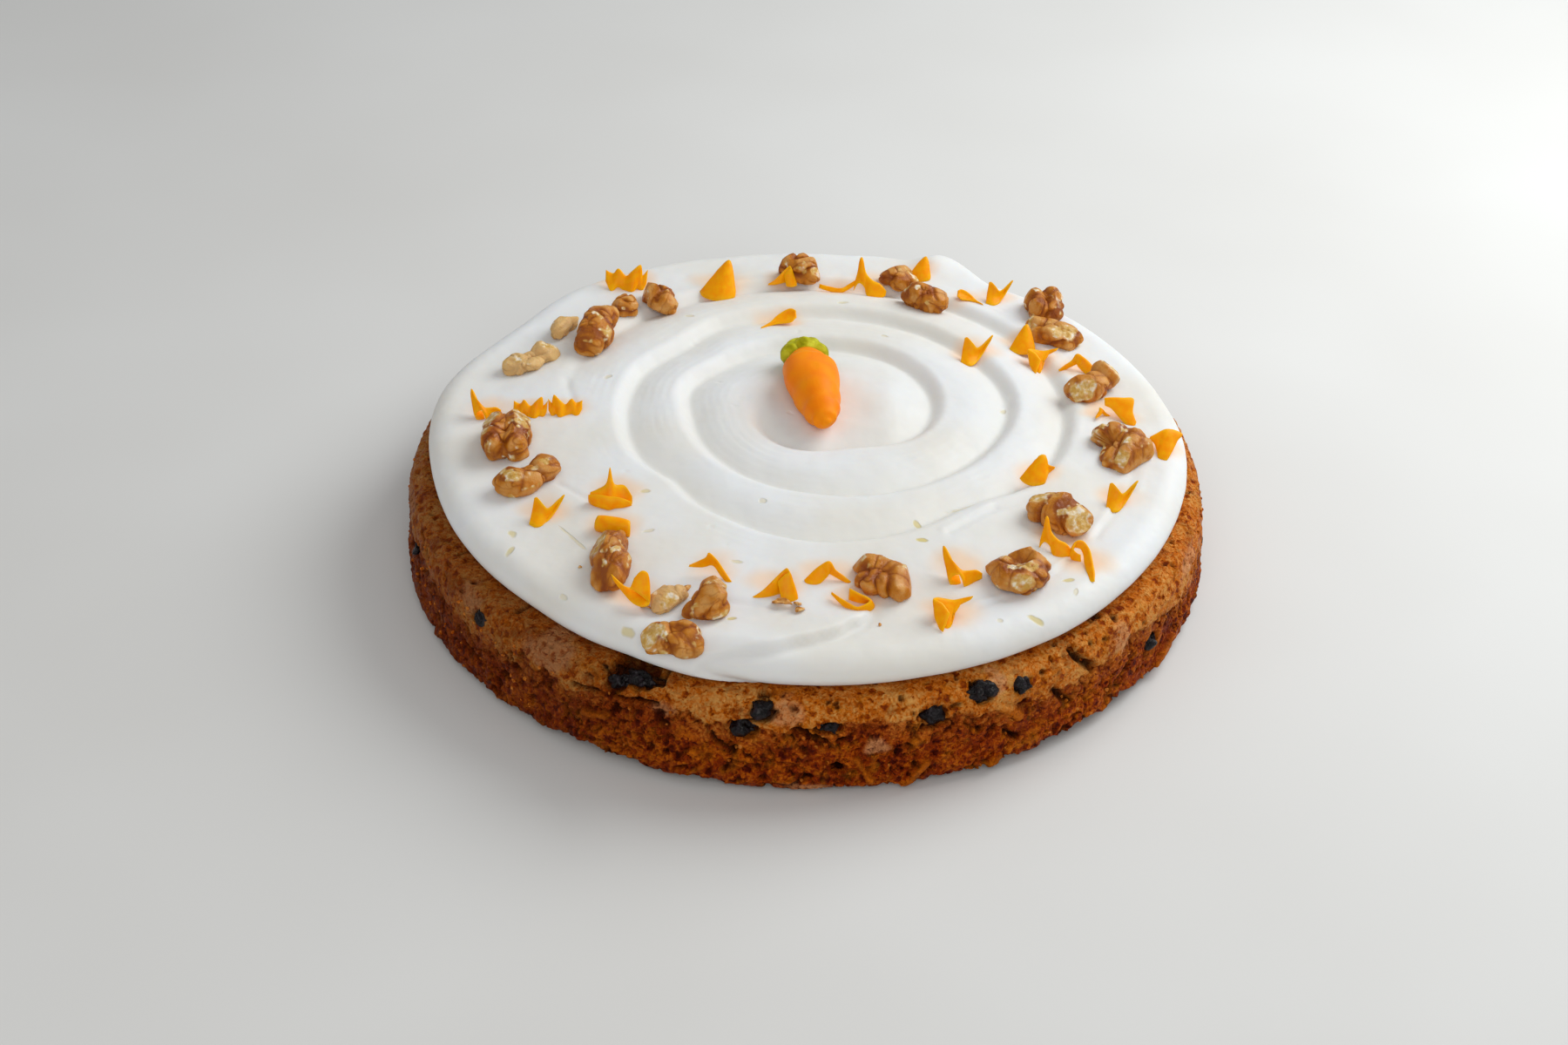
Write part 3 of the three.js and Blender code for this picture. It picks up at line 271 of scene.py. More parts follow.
# %% [markdown]
# ## Effects that materials share
# A node group is a small machine with named inputs and outputs. Mottling gives an uneven
# mask, tones picks a colour between three by a mask, veins draws thin wandering lines,
# grain gives the fine height that a Bump node turns into relief, and foam gives the height
# of crumb, whose pores are also its dark places. Each material places the groups with its
# own values.

# %% Helpers for node trees
def place_node(tree, kind, inputs=None, **settings):
    """Adds a node; inputs maps a socket to a plain value or to another node's output."""
    node = tree.nodes.new(kind)
    for title, value in settings.items():
        setattr(node, title, value)
    for title, value in (inputs or {}).items():
        socket = node.inputs[title]
        if isinstance(value, bpy.types.NodeSocket):
            tree.links.new(value, socket)
        else:
            socket.default_value = value
    return node


def calculate(tree, operation, *values):
    """A Math node's result."""
    return place_node(tree, "ShaderNodeMath", dict(enumerate(values)), operation=operation).outputs[0]


def spread(tree, value, low, high, to_low=0.0, to_high=1.0):
    """The value, with low to high moved to to_low to to_high."""
    inputs = {"Value": value, "From Min": low, "From Max": high, "To Min": to_low, "To Max": to_high}
    return place_node(tree, "ShaderNodeMapRange", inputs).outputs["Result"]


def move(tree, operation, place, by):
    """A Vector Math node's result."""
    return place_node(tree, "ShaderNodeVectorMath", {0: place, 1: by}, operation=operation).outputs[0]


def scale_vector(tree, vector, factor):
    """A vector made longer or shorter."""
    inputs = {0: vector, "Scale": factor}
    return place_node(tree, "ShaderNodeVectorMath", inputs, operation="SCALE").outputs[0]


def mix_colours(tree, share, first, second):
    """Between two colours: the first at 0 and the second at 1."""
    inputs = {0: share, 6: first, 7: second}  # a Mix node's sockets for colours
    return place_node(tree, "ShaderNodeMix", inputs, data_type="RGBA").outputs[2]


print("nodes can be placed and linked")


# %% Groups, and the textures inside them
def new_group(name, inputs, outputs):
    """An empty node group with named sockets. inputs maps a name to its first value."""
    tree = bpy.data.node_groups.new(name, "ShaderNodeTree")
    for title, value in inputs.items():
        kind = "NodeSocketColor" if isinstance(value, tuple) else "NodeSocketFloat"
        socket = tree.interface.new_socket(name=title, in_out="INPUT", socket_type=kind)
        socket.default_value = value
    for title, kind in outputs.items():
        tree.interface.new_socket(name=title, in_out="OUTPUT", socket_type=kind)
    return tree, tree.nodes.new("NodeGroupInput").outputs, tree.nodes.new("NodeGroupOutput").inputs


def effect(tree, group, **values):
    """The output of a group that is placed with its own values."""
    return place_node(tree, "ShaderNodeGroup", values, node_tree=group).outputs[0]


def noise(tree, place, scale, **more):
    """A Noise Texture node."""
    inputs = {"Vector": place, "Scale": scale, **more}
    return place_node(tree, "ShaderNodeTexNoise", inputs)


def dots(tree, place, scale):
    """Distance from the nearest of many scattered dots."""
    inputs = {"Vector": place, "Scale": scale}
    return place_node(tree, "ShaderNodeTexVoronoi", inputs).outputs["Distance"]


def where(tree, given):
    """Where a group looks, moved by its Shift, and how many of its Size make a metre."""
    place = place_node(tree, "ShaderNodeTexCoord").outputs["Object"]
    if "Shift" in given:
        place = move(tree, "ADD", place, given["Shift"])
    return place, calculate(tree, "DIVIDE", 1 / MM, given["Size"])


MASK_OUT = {"Mask": "NodeSocketFloat"}
HEIGHT_OUT = {"Height": "NodeSocketFloat"}
COLOUR_OUT = {"Color": "NodeSocketColor"}
print("groups can be made and used")

# %% Mottling: an uneven mask of soft patches
mottling, given, result = new_group(
    "mottling", {"Size": 5.0, "Low": 0.4, "High": 0.6, "Layers": 3.0, "Shift": 0.0}, MASK_OUT
)
place, per_metre = where(mottling, given)
patches = noise(mottling, place, per_metre, Detail=given["Layers"]).outputs[0]
mottling.links.new(spread(mottling, patches, given["Low"], given["High"]), result["Mask"])
print("group", mottling.name)

# %% Tones: a colour between three
inputs = {"Dark": (0, 0, 0, 1), "Middle": (0.5, 0.5, 0.5, 1), "Light": (1, 1, 1, 1), "Mask": 0.5}
tones, given, result = new_group("tones", inputs, COLOUR_OUT)
lower = spread(tones, given["Mask"], 0.0, 0.5)
upper = spread(tones, given["Mask"], 0.5, 1.0)
below = mix_colours(tones, lower, given["Dark"], given["Middle"])
tones.links.new(mix_colours(tones, upper, below, given["Light"]), result["Color"])
print("group", tones.name)

# %% Veins: thin lines that wander
veins, given, result = new_group("veins", {"Size": 5.0, "Width": 0.03}, MASK_OUT)
place, per_metre = where(veins, given)
hills = noise(veins, place, per_metre, Detail=2.0, Distortion=1.2).outputs[0]
from_middle = calculate(veins, "ABSOLUTE", calculate(veins, "SUBTRACT", hills, 0.5))
veins.links.new(spread(veins, from_middle, 0.0, given["Width"], 1.0, 0.0), result["Mask"])
print("group", veins.name)

# %% Grain: fine height for a Bump node
grain, given, result = new_group("grain", {"Size": 1.0, "Pits": 0.5}, HEIGHT_OUT)
place, per_metre = where(grain, given)
rough = noise(grain, place, per_metre, Detail=4.0, Roughness=0.6).outputs[0]
holes = spread(grain, dots(grain, place, per_metre), 0.05, 0.4, -1.0, 0.0)
pits = calculate(grain, "MULTIPLY", holes, given["Pits"])
grain.links.new(calculate(grain, "ADD", rough, pits), result["Height"])
print("group", grain.name)

# %% Foam: the height of baked crumb, full of pores
FOAM_PUSH = 1.6 * MM  # how far the pores' edges are pushed about, for each millimetre of size
FOAM_PORES = ((0.42, 0.9), (1.15, 0.5))  # large and small pores: how close together, how deep

foam, given, result = new_group("foam", {"Size": 1.0, "Pores": 1.0}, HEIGHT_OUT)
place, per_metre = where(foam, given)
push = move(foam, "SUBTRACT", noise(foam, place, per_metre, Detail=1.0).outputs[1], (0.5, 0.5, 0.5))
push = scale_vector(foam, push, calculate(foam, "MULTIPLY", given["Size"], FOAM_PUSH))
torn = move(foam, "ADD", place, push)
lumps = noise(foam, torn, per_metre, Detail=6.0, Roughness=0.68).outputs[0]
lumps = spread(foam, lumps, 0.3, 0.7)
for close, deep in FOAM_PORES:
    pore = dots(foam, torn, calculate(foam, "MULTIPLY", per_metre, close))
    pore = calculate(foam, "MULTIPLY", spread(foam, pore, 0.12, 0.42, deep, 0.0), given["Pores"])
    lumps = calculate(foam, "SUBTRACT", lumps, pore)
foam.links.new(lumps, result["Height"])
print("group", foam.name)


# %% A material with its own shader
def new_material(name, **plain):
    """A material, its tree and its shader, with plain values straight on the shader's sockets."""
    material = bpy.data.materials.new(name)
    material.use_nodes = True
    tree = material.node_tree
    shader = tree.nodes["Principled BSDF"]
    for title, value in plain.items():
        shader.inputs[title.replace("_", " ")].default_value = value
    print("material", name)
    return material, tree, shader


def raise_surface(tree, shader, height, distance, strength=1.0):
    """Turns a height into relief of about distance millimetres."""
    inputs = {"Height": height, "Distance": distance * MM, "Strength": strength}
    bump = place_node(tree, "ShaderNodeBump", inputs)
    tree.links.new(bump.outputs["Normal"], shader.inputs["Normal"])


print("materials can be made")


# %% Masks and colours of a material
def stored(tree, title):
    """A mask that a piece stores on its vertices."""
    return place_node(tree, "ShaderNodeAttribute", attribute_name=title).outputs["Fac"]


def three_colours(tree, mask, dark, middle, light):
    """Between three colours by a mask."""
    return effect(tree, tones, Dark=(*dark, 1), Middle=(*middle, 1), Light=(*light, 1), Mask=mask)


def tinted(tree, colour, tint, mask, share=1.0):
    """A colour that turns to a share of a tint where the mask is 1."""
    if share != 1.0:
        mask = calculate(tree, "MULTIPLY", mask, share)
    return mix_colours(tree, mask, colour, (*tint, 1))


def paint(tree, shader, colour, roughness=None):
    """Links a colour and a roughness that vary over the surface."""
    tree.links.new(colour, shader.inputs["Base Color"])
    if roughness:
        tree.links.new(roughness, shader.inputs["Roughness"])


print("materials can be painted")

# %% [markdown]
# ## The icing's form
# A knife was held in soft icing while the cake turned, and was drawn out to the rim. That
# leaves one long spiral groove with a steep outer wall and a gentle inner slope, and soft
# crests between its turns. Sculpting it by hand would be slow; here the height is worked
# out from the groove's own law, which is rounded a little at the crease.

# %% Sizes of the icing
SPONGE_RADIUS = 125
SPONGE_HEIGHT = 31
ICING_RADIUS = 117.5
ICING_BASE = SPONGE_HEIGHT + 0.3
ICING_RIM_TOP = 42.6
ICING_CENTRE_TOP = 44.4
RIM_OVERHANG = 8
GROOVE_CENTRE = (7, 10)
GROOVE_FIRST_RADIUS = 21
GROOVE_PITCH = 20.85
GROOVE_START = 169  # degrees about the groove's centre, counted on through its turns
GROOVE_END = 1273
GROOVE_DEPTH = 3.2
GROOVE_LIP = 4.2
GROOVE_SLOPE = 13
CREASE_ROUNDING = 0.8
GROOVE_FADES = (98, 108)  # the groove grows shallow between these distances from the middle

ICING_OUTLINE = [
    [0, 1.3], [14, 0], [36, -0.5], [56, -2], [66, 5.5], [75, 0.5], [86, -1.8], [102, -1.5],
    [117, 0], [132, 1], [149, -2.2], [171, 1.8], [198, -1], [224, -1], [242, 1], [270, 2.4],
    [306, 2.2], [330, 0.8], [360, 1.3],
]
GROOVE_WANDER = [
    [285, -5.5, 30], [528, 3, 15], [725, 3, 25], [865, -3, 12], [942, -3, 9], [985, 3.2, 18],
    [1028, -4.5, 14],
]
print("the groove turns", round((GROOVE_END - GROOVE_START) / 360, 1), "times")


# %% The groove's law
def groove_radius(turned_by):
    """Distance of the groove from its centre."""
    radius = GROOVE_FIRST_RADIUS + GROOVE_PITCH * (turned_by - GROOVE_START) / 360
    for at, shift, width in GROOVE_WANDER:
        radius = radius + shift * np.exp(-(((turned_by - at) / width) ** 2))
    return radius


def groove_turns(x, y):
    """For each turn of the groove: its angle, and how far outside it each point lies."""
    dx = x - GROOVE_CENTRE[0]
    dy = y - GROOVE_CENTRE[1]
    angle = np.degrees(np.arctan2(dy, dx)) % 360
    for turn in range(math.ceil(GROOVE_END / 360)):
        turned_by = angle + 360 * turn
        outside = np.hypot(dx, dy) - groove_radius(turned_by)
        yield turned_by, np.where(turned_by <= GROOVE_END, outside, 999.0)


def groove_cut(x, y):
    """How far below the crests the icing lies, from 0 to 1."""
    cut = np.zeros_like(x)
    for turned_by, outside in groove_turns(x, y):
        apart = np.sqrt(outside**2 + CREASE_ROUNDING**2) - CREASE_ROUNDING
        lip = np.clip(1 - apart / GROOVE_LIP, 0, 1) ** 1.5
        slope = np.clip(1 - apart / GROOVE_SLOPE, 0, 1) ** 1.8
        wall = np.where(outside > 0, lip, slope)
        fade_in = ramp(turned_by, GROOVE_START, GROOVE_START + 50)
        fade_out = 1 - ramp(turned_by, GROOVE_END - 70, GROOVE_END)
        cut = np.maximum(cut, np.where(outside < 900, wall * fade_in * fade_out, 0))
    return cut * (1 - ramp(np.hypot(x, y), *GROOVE_FADES))


print("the groove's last turn is", round(float(groove_radius(GROOVE_END))), "mm from its centre")


# %% The icing's top
def hill(x, y, place, width, depth):
    """A soft round hill."""
    return np.exp(-(((x - place[0]) / width) ** 2) - ((y - place[1]) / depth) ** 2)


def icing_top(x, y):
    """Height of the icing's top at a place."""
    distance = np.hypot(x, y)
    plain = ICING_CENTRE_TOP + (ICING_RIM_TOP - ICING_CENTRE_TOP) * ramp(distance, 60, 108)
    crest = 0.9 * ramp(distance, 14, 30) * (1 - ramp(distance, 84, 104))
    swell = 0.35 * np.sin(x / 17 + 1.3) * np.cos(y / 21 + 0.4)
    hump = 1.6 * hill(x, y, (23, 10), 9, 10)
    tail = 2.6 * hill(x, y, (43, 106), 7, 7)
    return plain + crest + swell + hump + tail - GROOVE_DEPTH * groove_cut(x, y)


def icing_height(x, y):
    """Height of the icing's top at one place."""
    return float(icing_top(np.array([x], float), np.array([y], float))[0])


print("top at the middle:", round(icing_height(0, 0), 2), "mm")

# %% [markdown]
# ## Marks in the icing
# The blade left fine lines along its path and short streaks between the toppings. Its last
# stroke lapped over the first one at the front rim, which leaves a step there, and small
# pits show where bubbles broke. Specks of butter are pale yellow flecks in shallow dimples.
# The large marks are real relief; the specks are drawn by a group that measures the
# distance to an oval, so that they stay sharp at any size.

# %% Streaks in the icing
FOLDS = [  # a ridge along a line: [x, y, x, y, half width, height]
    [-73, 3, -77, 22, 1.3, -0.5], [40.7, -58.0, 55.2, -43.8, 0.8, 0.4],
    [42.6, -59.6, 57.0, -45.6, 0.9, -0.4], [45.0, -44.3, 65.4, -36.9, 0.9, 0.35],
    [48.0, -51.0, 66.0, -41.4, 0.9, -0.3], [49.1, -90.5, 57.0, -86.8, 0.8, 0.45],
    [49.6, -92.4, 57.6, -88.8, 0.9, -0.35], [70.1, -75.3, 76.4, -67.3, 0.8, 0.45],
    [71.8, -76.6, 78.0, -68.8, 0.9, -0.35], [83.8, -56.0, 91.0, -41.2, 0.8, 0.4],
    [86.0, -56.4, 93.0, -42.0, 0.9, -0.35], [98, -30, 104, -6, 1.0, -0.3],
    [101, -31, 107, -7, 0.8, 0.25], [-8, -95, -30, -92, 1.2, -0.45],
    [-58, -52, -74, -38, 0.9, -0.4],
]


def to_segment(x, y, ends):
    """Distance from each point to the line between two places."""
    x0, y0, x1, y1 = ends
    length = (x1 - x0) ** 2 + (y1 - y0) ** 2
    share = np.clip(((x - x0) * (x1 - x0) + (y - y0) * (y1 - y0)) / length, 0, 1)
    return np.hypot(x - x0 - share * (x1 - x0), y - y0 - share * (y1 - y0))


print("streaks:", len(FOLDS))

# %% The lap at the front rim
LAP_EDGE = [  # where the last stroke of icing laps over the first: [x, y]
    [-40, -117], [-24, -116], [-9, -114], [3, -110], [11, -105.5], [16.5, -101], [18.8, -96.5],
    [17.5, -91], [12, -86],
]
LAP_HEIGHT = 2.4
LAP_DIP = 0.9  # how far the icing is pressed down along the foot of the step
LAP_STARTS = (-58, -30)  # the lap grows between these, from left to right
LAP_ENDS = (-102, -93)  # and fades between these, from front to back


def lap_of_icing(x, y):
    """The step down at the edge of the lap, which fades behind it and at its ends."""
    nearest = np.full_like(x, 999.0)
    side = np.ones_like(x)
    for (x0, y0), (x1, y1) in zip(LAP_EDGE[:-1], LAP_EDGE[1:]):
        apart = to_segment(x, y, (x0, y0, x1, y1))
        left = np.sign((x1 - x0) * (y - y0) - (y1 - y0) * (x - x0))
        side = np.where(apart < nearest, left, side)
        nearest = np.minimum(apart, nearest)
    inside = nearest * side + 0.5 * bumps(np.stack([x, y, 0 * x], axis=1), 8, 12)
    step = LAP_HEIGHT * ramp(inside, -0.5, 0.9) * (1 - ramp(inside, 2, 20))
    dip = LAP_DIP * np.exp(-(((inside + 1.6) / 1.7) ** 2))
    return (step - dip) * ramp(x, *LAP_STARTS) * (1 - ramp(y, *LAP_ENDS))


print("the lap's edge is drawn through", len(LAP_EDGE), "places")


# %% All the marks together
def icing_marks(points):
    """Small relief on the icing."""
    x, y = points[:, 0], points[:, 1]
    relief = 0.2 * bumps(points, 17, 3) + 0.1 * bumps(points, 7, 4) + lap_of_icing(x, y)
    for *ends, width, height in FOLDS:
        wander = 0.7 * bumps(points, 9, 5)
        relief += height * np.exp(-(((to_segment(x, y, ends) + wander) / width) ** 2))
    blade = sum(np.where(np.abs(outside) < GROOVE_SLOPE, np.sin(outside * 2.4), 0)
                for _, outside in groove_turns(x, y))
    relief += 0.05 * blade * ramp(bumps(points, 21, 6), -0.2, 0.5)
    pits = 1 - ramp(to_dots(points * [1, 1, 0.2], 13, 7), 0.02, 0.075)
    return relief - 0.35 * pits


print("mark at the middle:", round(float(icing_marks(np.zeros((1, 3)))[0]), 2), "mm")

# %% The icing as rows of points
ICING_SEGMENTS = 600
ICING_ROWS = 124
RIM_ROWS = 26


def icing_rows():
    """Rows of points from the icing's foot, over its rim and in to the middle."""
    angle = 360 * np.arange(ICING_SEGMENTS) / ICING_SEGMENTS
    c, s = np.cos(np.radians(angle)), np.sin(np.radians(angle))
    foot = ICING_RADIUS + along(ICING_OUTLINE, angle) - RIM_OVERHANG
    middle = (ICING_BASE + ICING_RIM_TOP) / 2
    edge_top = icing_top(foot * c, foot * s)
    rows = []
    for around in np.linspace(-math.pi / 2, math.pi / 2, RIM_ROWS, endpoint=False):
        radius = foot + RIM_OVERHANG * math.cos(around)
        half = np.full(ICING_SEGMENTS, middle - ICING_BASE) if around < 0 else edge_top - middle
        rows.append(np.stack([radius * c, radius * s, middle + half * math.sin(around)], axis=1))
    for row in range(ICING_ROWS):
        radius = foot * (1 - row / ICING_ROWS)
        x, y = radius * c, radius * s
        rows.append(np.stack([x, y, icing_top(x, y)], axis=1))
    return np.array(rows)


rows = icing_rows()
marks = icing_marks(rows.reshape(-1, 3)).reshape(rows.shape[:2])
tilt = np.clip(np.linspace(-1, 1, RIM_ROWS), 0, 1)[:, None]
rows[RIM_ROWS:, :, 2] += marks[RIM_ROWS:]
outward = rows[:RIM_ROWS, :, :2] / np.linalg.norm(rows[:RIM_ROWS, :, :2], axis=2)[..., None]
rows[:RIM_ROWS, :, :2] += outward * (0.7 * marks[:RIM_ROWS] * (1 - tilt))[..., None]
rows[:RIM_ROWS, :, 2] += marks[:RIM_ROWS] * tilt
icing_middle = [0, 0, icing_height(0, 0)]
icing_points, icing_faces = stacked([0, 0, ICING_BASE], rows, icing_middle)
print("icing:", len(icing_faces), "faces")

# %% [markdown]
# ## The icing's finish
# Cream cheese icing is off-white and soft-edged: light goes a little way into it. Its colour
# drifts between cool white and cream. Painted shade tints it cream deep in the groove, and a
# painted orange glow, of light through and off the carrot curls, lies beside each one. Image
# textures could hold all that, but nodes stay sharp and weigh nothing.

# %% Specks: small ovals in the icing
speck, given, result = new_group(
    "speck", {"X": 0.0, "Y": 0.0, "Turn": 0.0, "Length": 3.0, "Width": 1.5}, MASK_OUT
)
spot = place_node(speck, "ShaderNodeTexCoord").outputs["Object"]
centre = place_node(speck, "ShaderNodeCombineXYZ", {"X": given["X"], "Y": given["Y"]}).outputs[0]
apart = move(speck, "SUBTRACT", spot, scale_vector(speck, centre, MM))
laid = {"Vector": apart, "Angle": given["Turn"]}
laid = place_node(speck, "ShaderNodeVectorRotate", laid, rotation_type="Z_AXIS").outputs[0]
sides = place_node(speck, "ShaderNodeSeparateXYZ", {0: laid}).outputs
squares = []
for axis, side in (("X", "Length"), ("Y", "Width")):
    half = calculate(speck, "MULTIPLY", given[side], 0.5 * MM)
    squares.append(calculate(speck, "POWER", calculate(speck, "DIVIDE", sides[axis], half), 2.0))
uneven = noise(speck, spot, 450.0, Detail=0.5).outputs[0]
uneven = spread(speck, uneven, 0.3, 0.7, -0.3, 0.3)
wobbly = calculate(speck, "ADD", calculate(speck, "ADD", *squares), uneven)
soft = {"Value": wobbly, 1: 0.2, 2: 1.2, 3: 1.0, 4: 0.0}
soft = place_node(speck, "ShaderNodeMapRange", soft, interpolation_type="SMOOTHSTEP").outputs[0]
speck.links.new(soft, result["Mask"])
print("group", speck.name)

# %% The icing's material
FLECKS = [  # [x, y, degrees turned, length, width, how yellow]
    [-19.6, -101.4, 20, 3.2, 2.0, 0.9], [-19.1, -76.0, -8, 4.2, 1.6, 0.5],
    [-47.7, -42.3, 10, 3.6, 2.2, 0.6], [-45.4, -62.5, 25, 4.0, 1.6, 0.35],
    [-12.5, -45.2, 0, 2.4, 2.6, 0.35], [33.4, -52.1, 120, 3.6, 2.2, 0.8],
    [34.4, -63.6, 0, 3.6, 2.2, 1.0], [76.3, -78.3, 20, 4.0, 1.9, 0.85],
    [65.7, -95.9, -14, 5.4, 2.2, 0.85], [78.1, -83.4, 80, 3.4, 1.4, 0.4],
    [46.5, -44.0, 15, 9.0, 1.6, 0.35], [55.6, -98.0, 0, 2.2, 1.8, 0.4],
    [-85.4, -62.2, -60, 4.6, 2.6, 0.7], [-85.2, -70.8, 72, 4.8, 2.2, 0.7],
    [-48.4, -105.8, -35, 5.0, 2.4, 0.7], [-67.7, -91.6, -40, 3.2, 1.8, 0.3],
    [-67.0, -65.5, -52, 16, 1.1, 0.4], [11, 74, 15, 4, 2, 0.5], [-40, 62, -20, 3.4, 2, 0.4],
    [62, 12, 60, 3.6, 1.8, 0.5], [-64, 22, 35, 3.2, 2, 0.4], [25, 52, -30, 3, 1.6, 0.4],
]
ICING_WHITE = (0.81, 0.82, 0.825)
ICING_CREAM_AND_GROOVE_SHADE = (0.785, 0.765, 0.715)
PAINTED_GLOW_ORANGE = (0.95, 0.50, 0.14)
SPECK_YELLOW = (0.66, 0.52, 0.12)

icing_material, tree, shader = new_material(
    "cream_cheese_icing", Roughness=0.5, Specular_IOR_Level=0.18,
    Subsurface_Weight=0.35, Subsurface_Scale=0.004, Subsurface_Radius=(1.0, 0.8, 0.6),
)
drift = effect(tree, mottling, Size=46.0, Low=0.42, High=0.62, Layers=2.0)
colour = mix_colours(tree, drift, (*ICING_WHITE, 1), (*ICING_CREAM_AND_GROOVE_SHADE, 1))
# painted shade deep in the groove, tinted cream
colour = tinted(tree, colour, ICING_CREAM_AND_GROOVE_SHADE, stored(tree, "painted_groove_shade"), 0.7)
# painted orange glow of light beside each carrot curl
colour = tinted(tree, colour, PAINTED_GLOW_ORANGE, stored(tree, "painted_curl_glow"), 0.4)
dimples = None
for x, y, turn, length, width, yellow in FLECKS:
    mask = effect(tree, speck, X=x, Y=y, Turn=math.radians(-turn), Length=length, Width=width)
    colour = tinted(tree, colour, SPECK_YELLOW, mask, yellow * 0.8)
    dimples = calculate(tree, "MAXIMUM", dimples, mask) if dimples else mask
smears = effect(tree, mottling, Size=7.0, Low=0.2, High=0.8, Layers=1.5, Shift=6.0)
height = calculate(tree, "SUBTRACT", smears, calculate(tree, "MULTIPLY", dimples, 0.9))
shine = spread(tree, effect(tree, mottling, Size=9.0, Shift=3.0), 0, 1, 0.4, 0.55)
paint(tree, shader, colour, shine)
raise_surface(tree, shader, height, 0.35, 0.8)
print("icing material with", len(FLECKS), "specks")

# %% [markdown]
# ## The walnuts' tables
# The tables repeat those of the solids: where each piece lies, of which kind it is, and how
# large. A kind is a few rounded lobes that run into each other, as a kernel's folds do.

# %% Kinds of walnut piece, and the pieces
NUT_KINDS = {  # lobes: [x, y, z, half sizes in x, y, z], as shares of the piece's size
    "half": [
        [-0.5, 0.45, 0.35, 0.48, 0.52, 0.6], [-0.52, -0.35, 0.35, 0.46, 0.6, 0.55],
        [0.48, 0.5, 0.35, 0.5, 0.45, 0.6], [0.52, -0.12, 0.35, 0.45, 0.45, 0.62],
        [0.42, -0.62, 0.3, 0.42, 0.36, 0.5], [0, 0, 0.15, 0.6, 0.85, 0.35],
    ],
    "smooth": [
        [0, 0.15, 0.3, 0.8, 0.75, 0.65], [0.3, -0.5, 0.25, 0.6, 0.5, 0.5],
        [-0.45, 0.45, 0.3, 0.5, 0.5, 0.55],
    ],
    "ring": [
        [-0.62, 0.1, 0.35, 0.36, 0.36, 0.5], [-0.45, -0.45, 0.3, 0.36, 0.36, 0.5],
        [0.05, -0.62, 0.3, 0.38, 0.36, 0.55], [0.55, -0.35, 0.35, 0.4, 0.38, 0.55],
        [0.66, 0.2, 0.35, 0.34, 0.4, 0.6], [0.2, 0.6, 0.4, 0.42, 0.38, 0.6],
        [0.05, -0.05, 0.15, 0.6, 0.6, 0.42],
    ],
    "hook": [
        [-0.66, 0.6, 0.35, 0.34, 0.32, 0.5], [-0.2, 0.66, 0.35, 0.45, 0.34, 0.55],
        [0.32, 0.45, 0.35, 0.42, 0.42, 0.6], [0.42, -0.05, 0.35, 0.36, 0.5, 0.55],
        [0.18, -0.62, 0.3, 0.28, 0.38, 0.5], [0.8, 0.05, 0.3, 0.3, 0.26, 0.4],
        [-0.35, -0.35, 0.1, 0.3, 0.5, 0.3], [0.05, 0.1, 0.1, 0.4, 0.4, 0.35],
    ],
    "flat": [
        [-0.38, 0.32, 0.25, 0.58, 0.5, 0.55], [0.4, 0.18, 0.25, 0.55, 0.5, 0.5],
        [-0.05, -0.42, 0.2, 0.6, 0.45, 0.5], [0.58, -0.32, 0.2, 0.36, 0.38, 0.45],
    ],
    "wedge": [
        [-0.5, -0.12, 0.35, 0.42, 0.8, 0.6], [0.32, 0.34, 0.35, 0.5, 0.5, 0.6],
        [0.62, -0.2, 0.3, 0.38, 0.5, 0.55], [0.3, -0.52, 0.3, 0.45, 0.4, 0.5],
    ],
    "bar": [
        [0, 0.66, 0.3, 0.75, 0.36, 0.55], [-0.2, 0.18, 0.35, 0.7, 0.45, 0.6],
        [0.25, -0.2, 0.35, 0.65, 0.45, 0.6], [-0.1, -0.66, 0.3, 0.68, 0.36, 0.5],
        [-0.6, 0, 0.25, 0.36, 0.92, 0.5],
    ],
    "bone": [
        [-0.6, -0.1, 0.3, 0.42, 0.62, 0.55], [0.58, 0.25, 0.35, 0.44, 0.58, 0.6],
        [0, 0.05, 0.2, 0.6, 0.36, 0.4], [-0.2, -0.35, 0.2, 0.5, 0.4, 0.4],
    ],
    "upright": [
        [0.05, -0.3, 0.35, 0.75, 0.62, 0.6], [0.1, 0.4, 0.4, 0.55, 0.58, 0.6],
        [-0.7, -0.4, 0.12, 0.4, 0.3, 0.3],
    ],
    "chip": [
        [-0.1, -0.1, 0.3, 0.82, 0.8, 0.6], [0.4, 0.45, 0.25, 0.5, 0.5, 0.5],
    ],
}

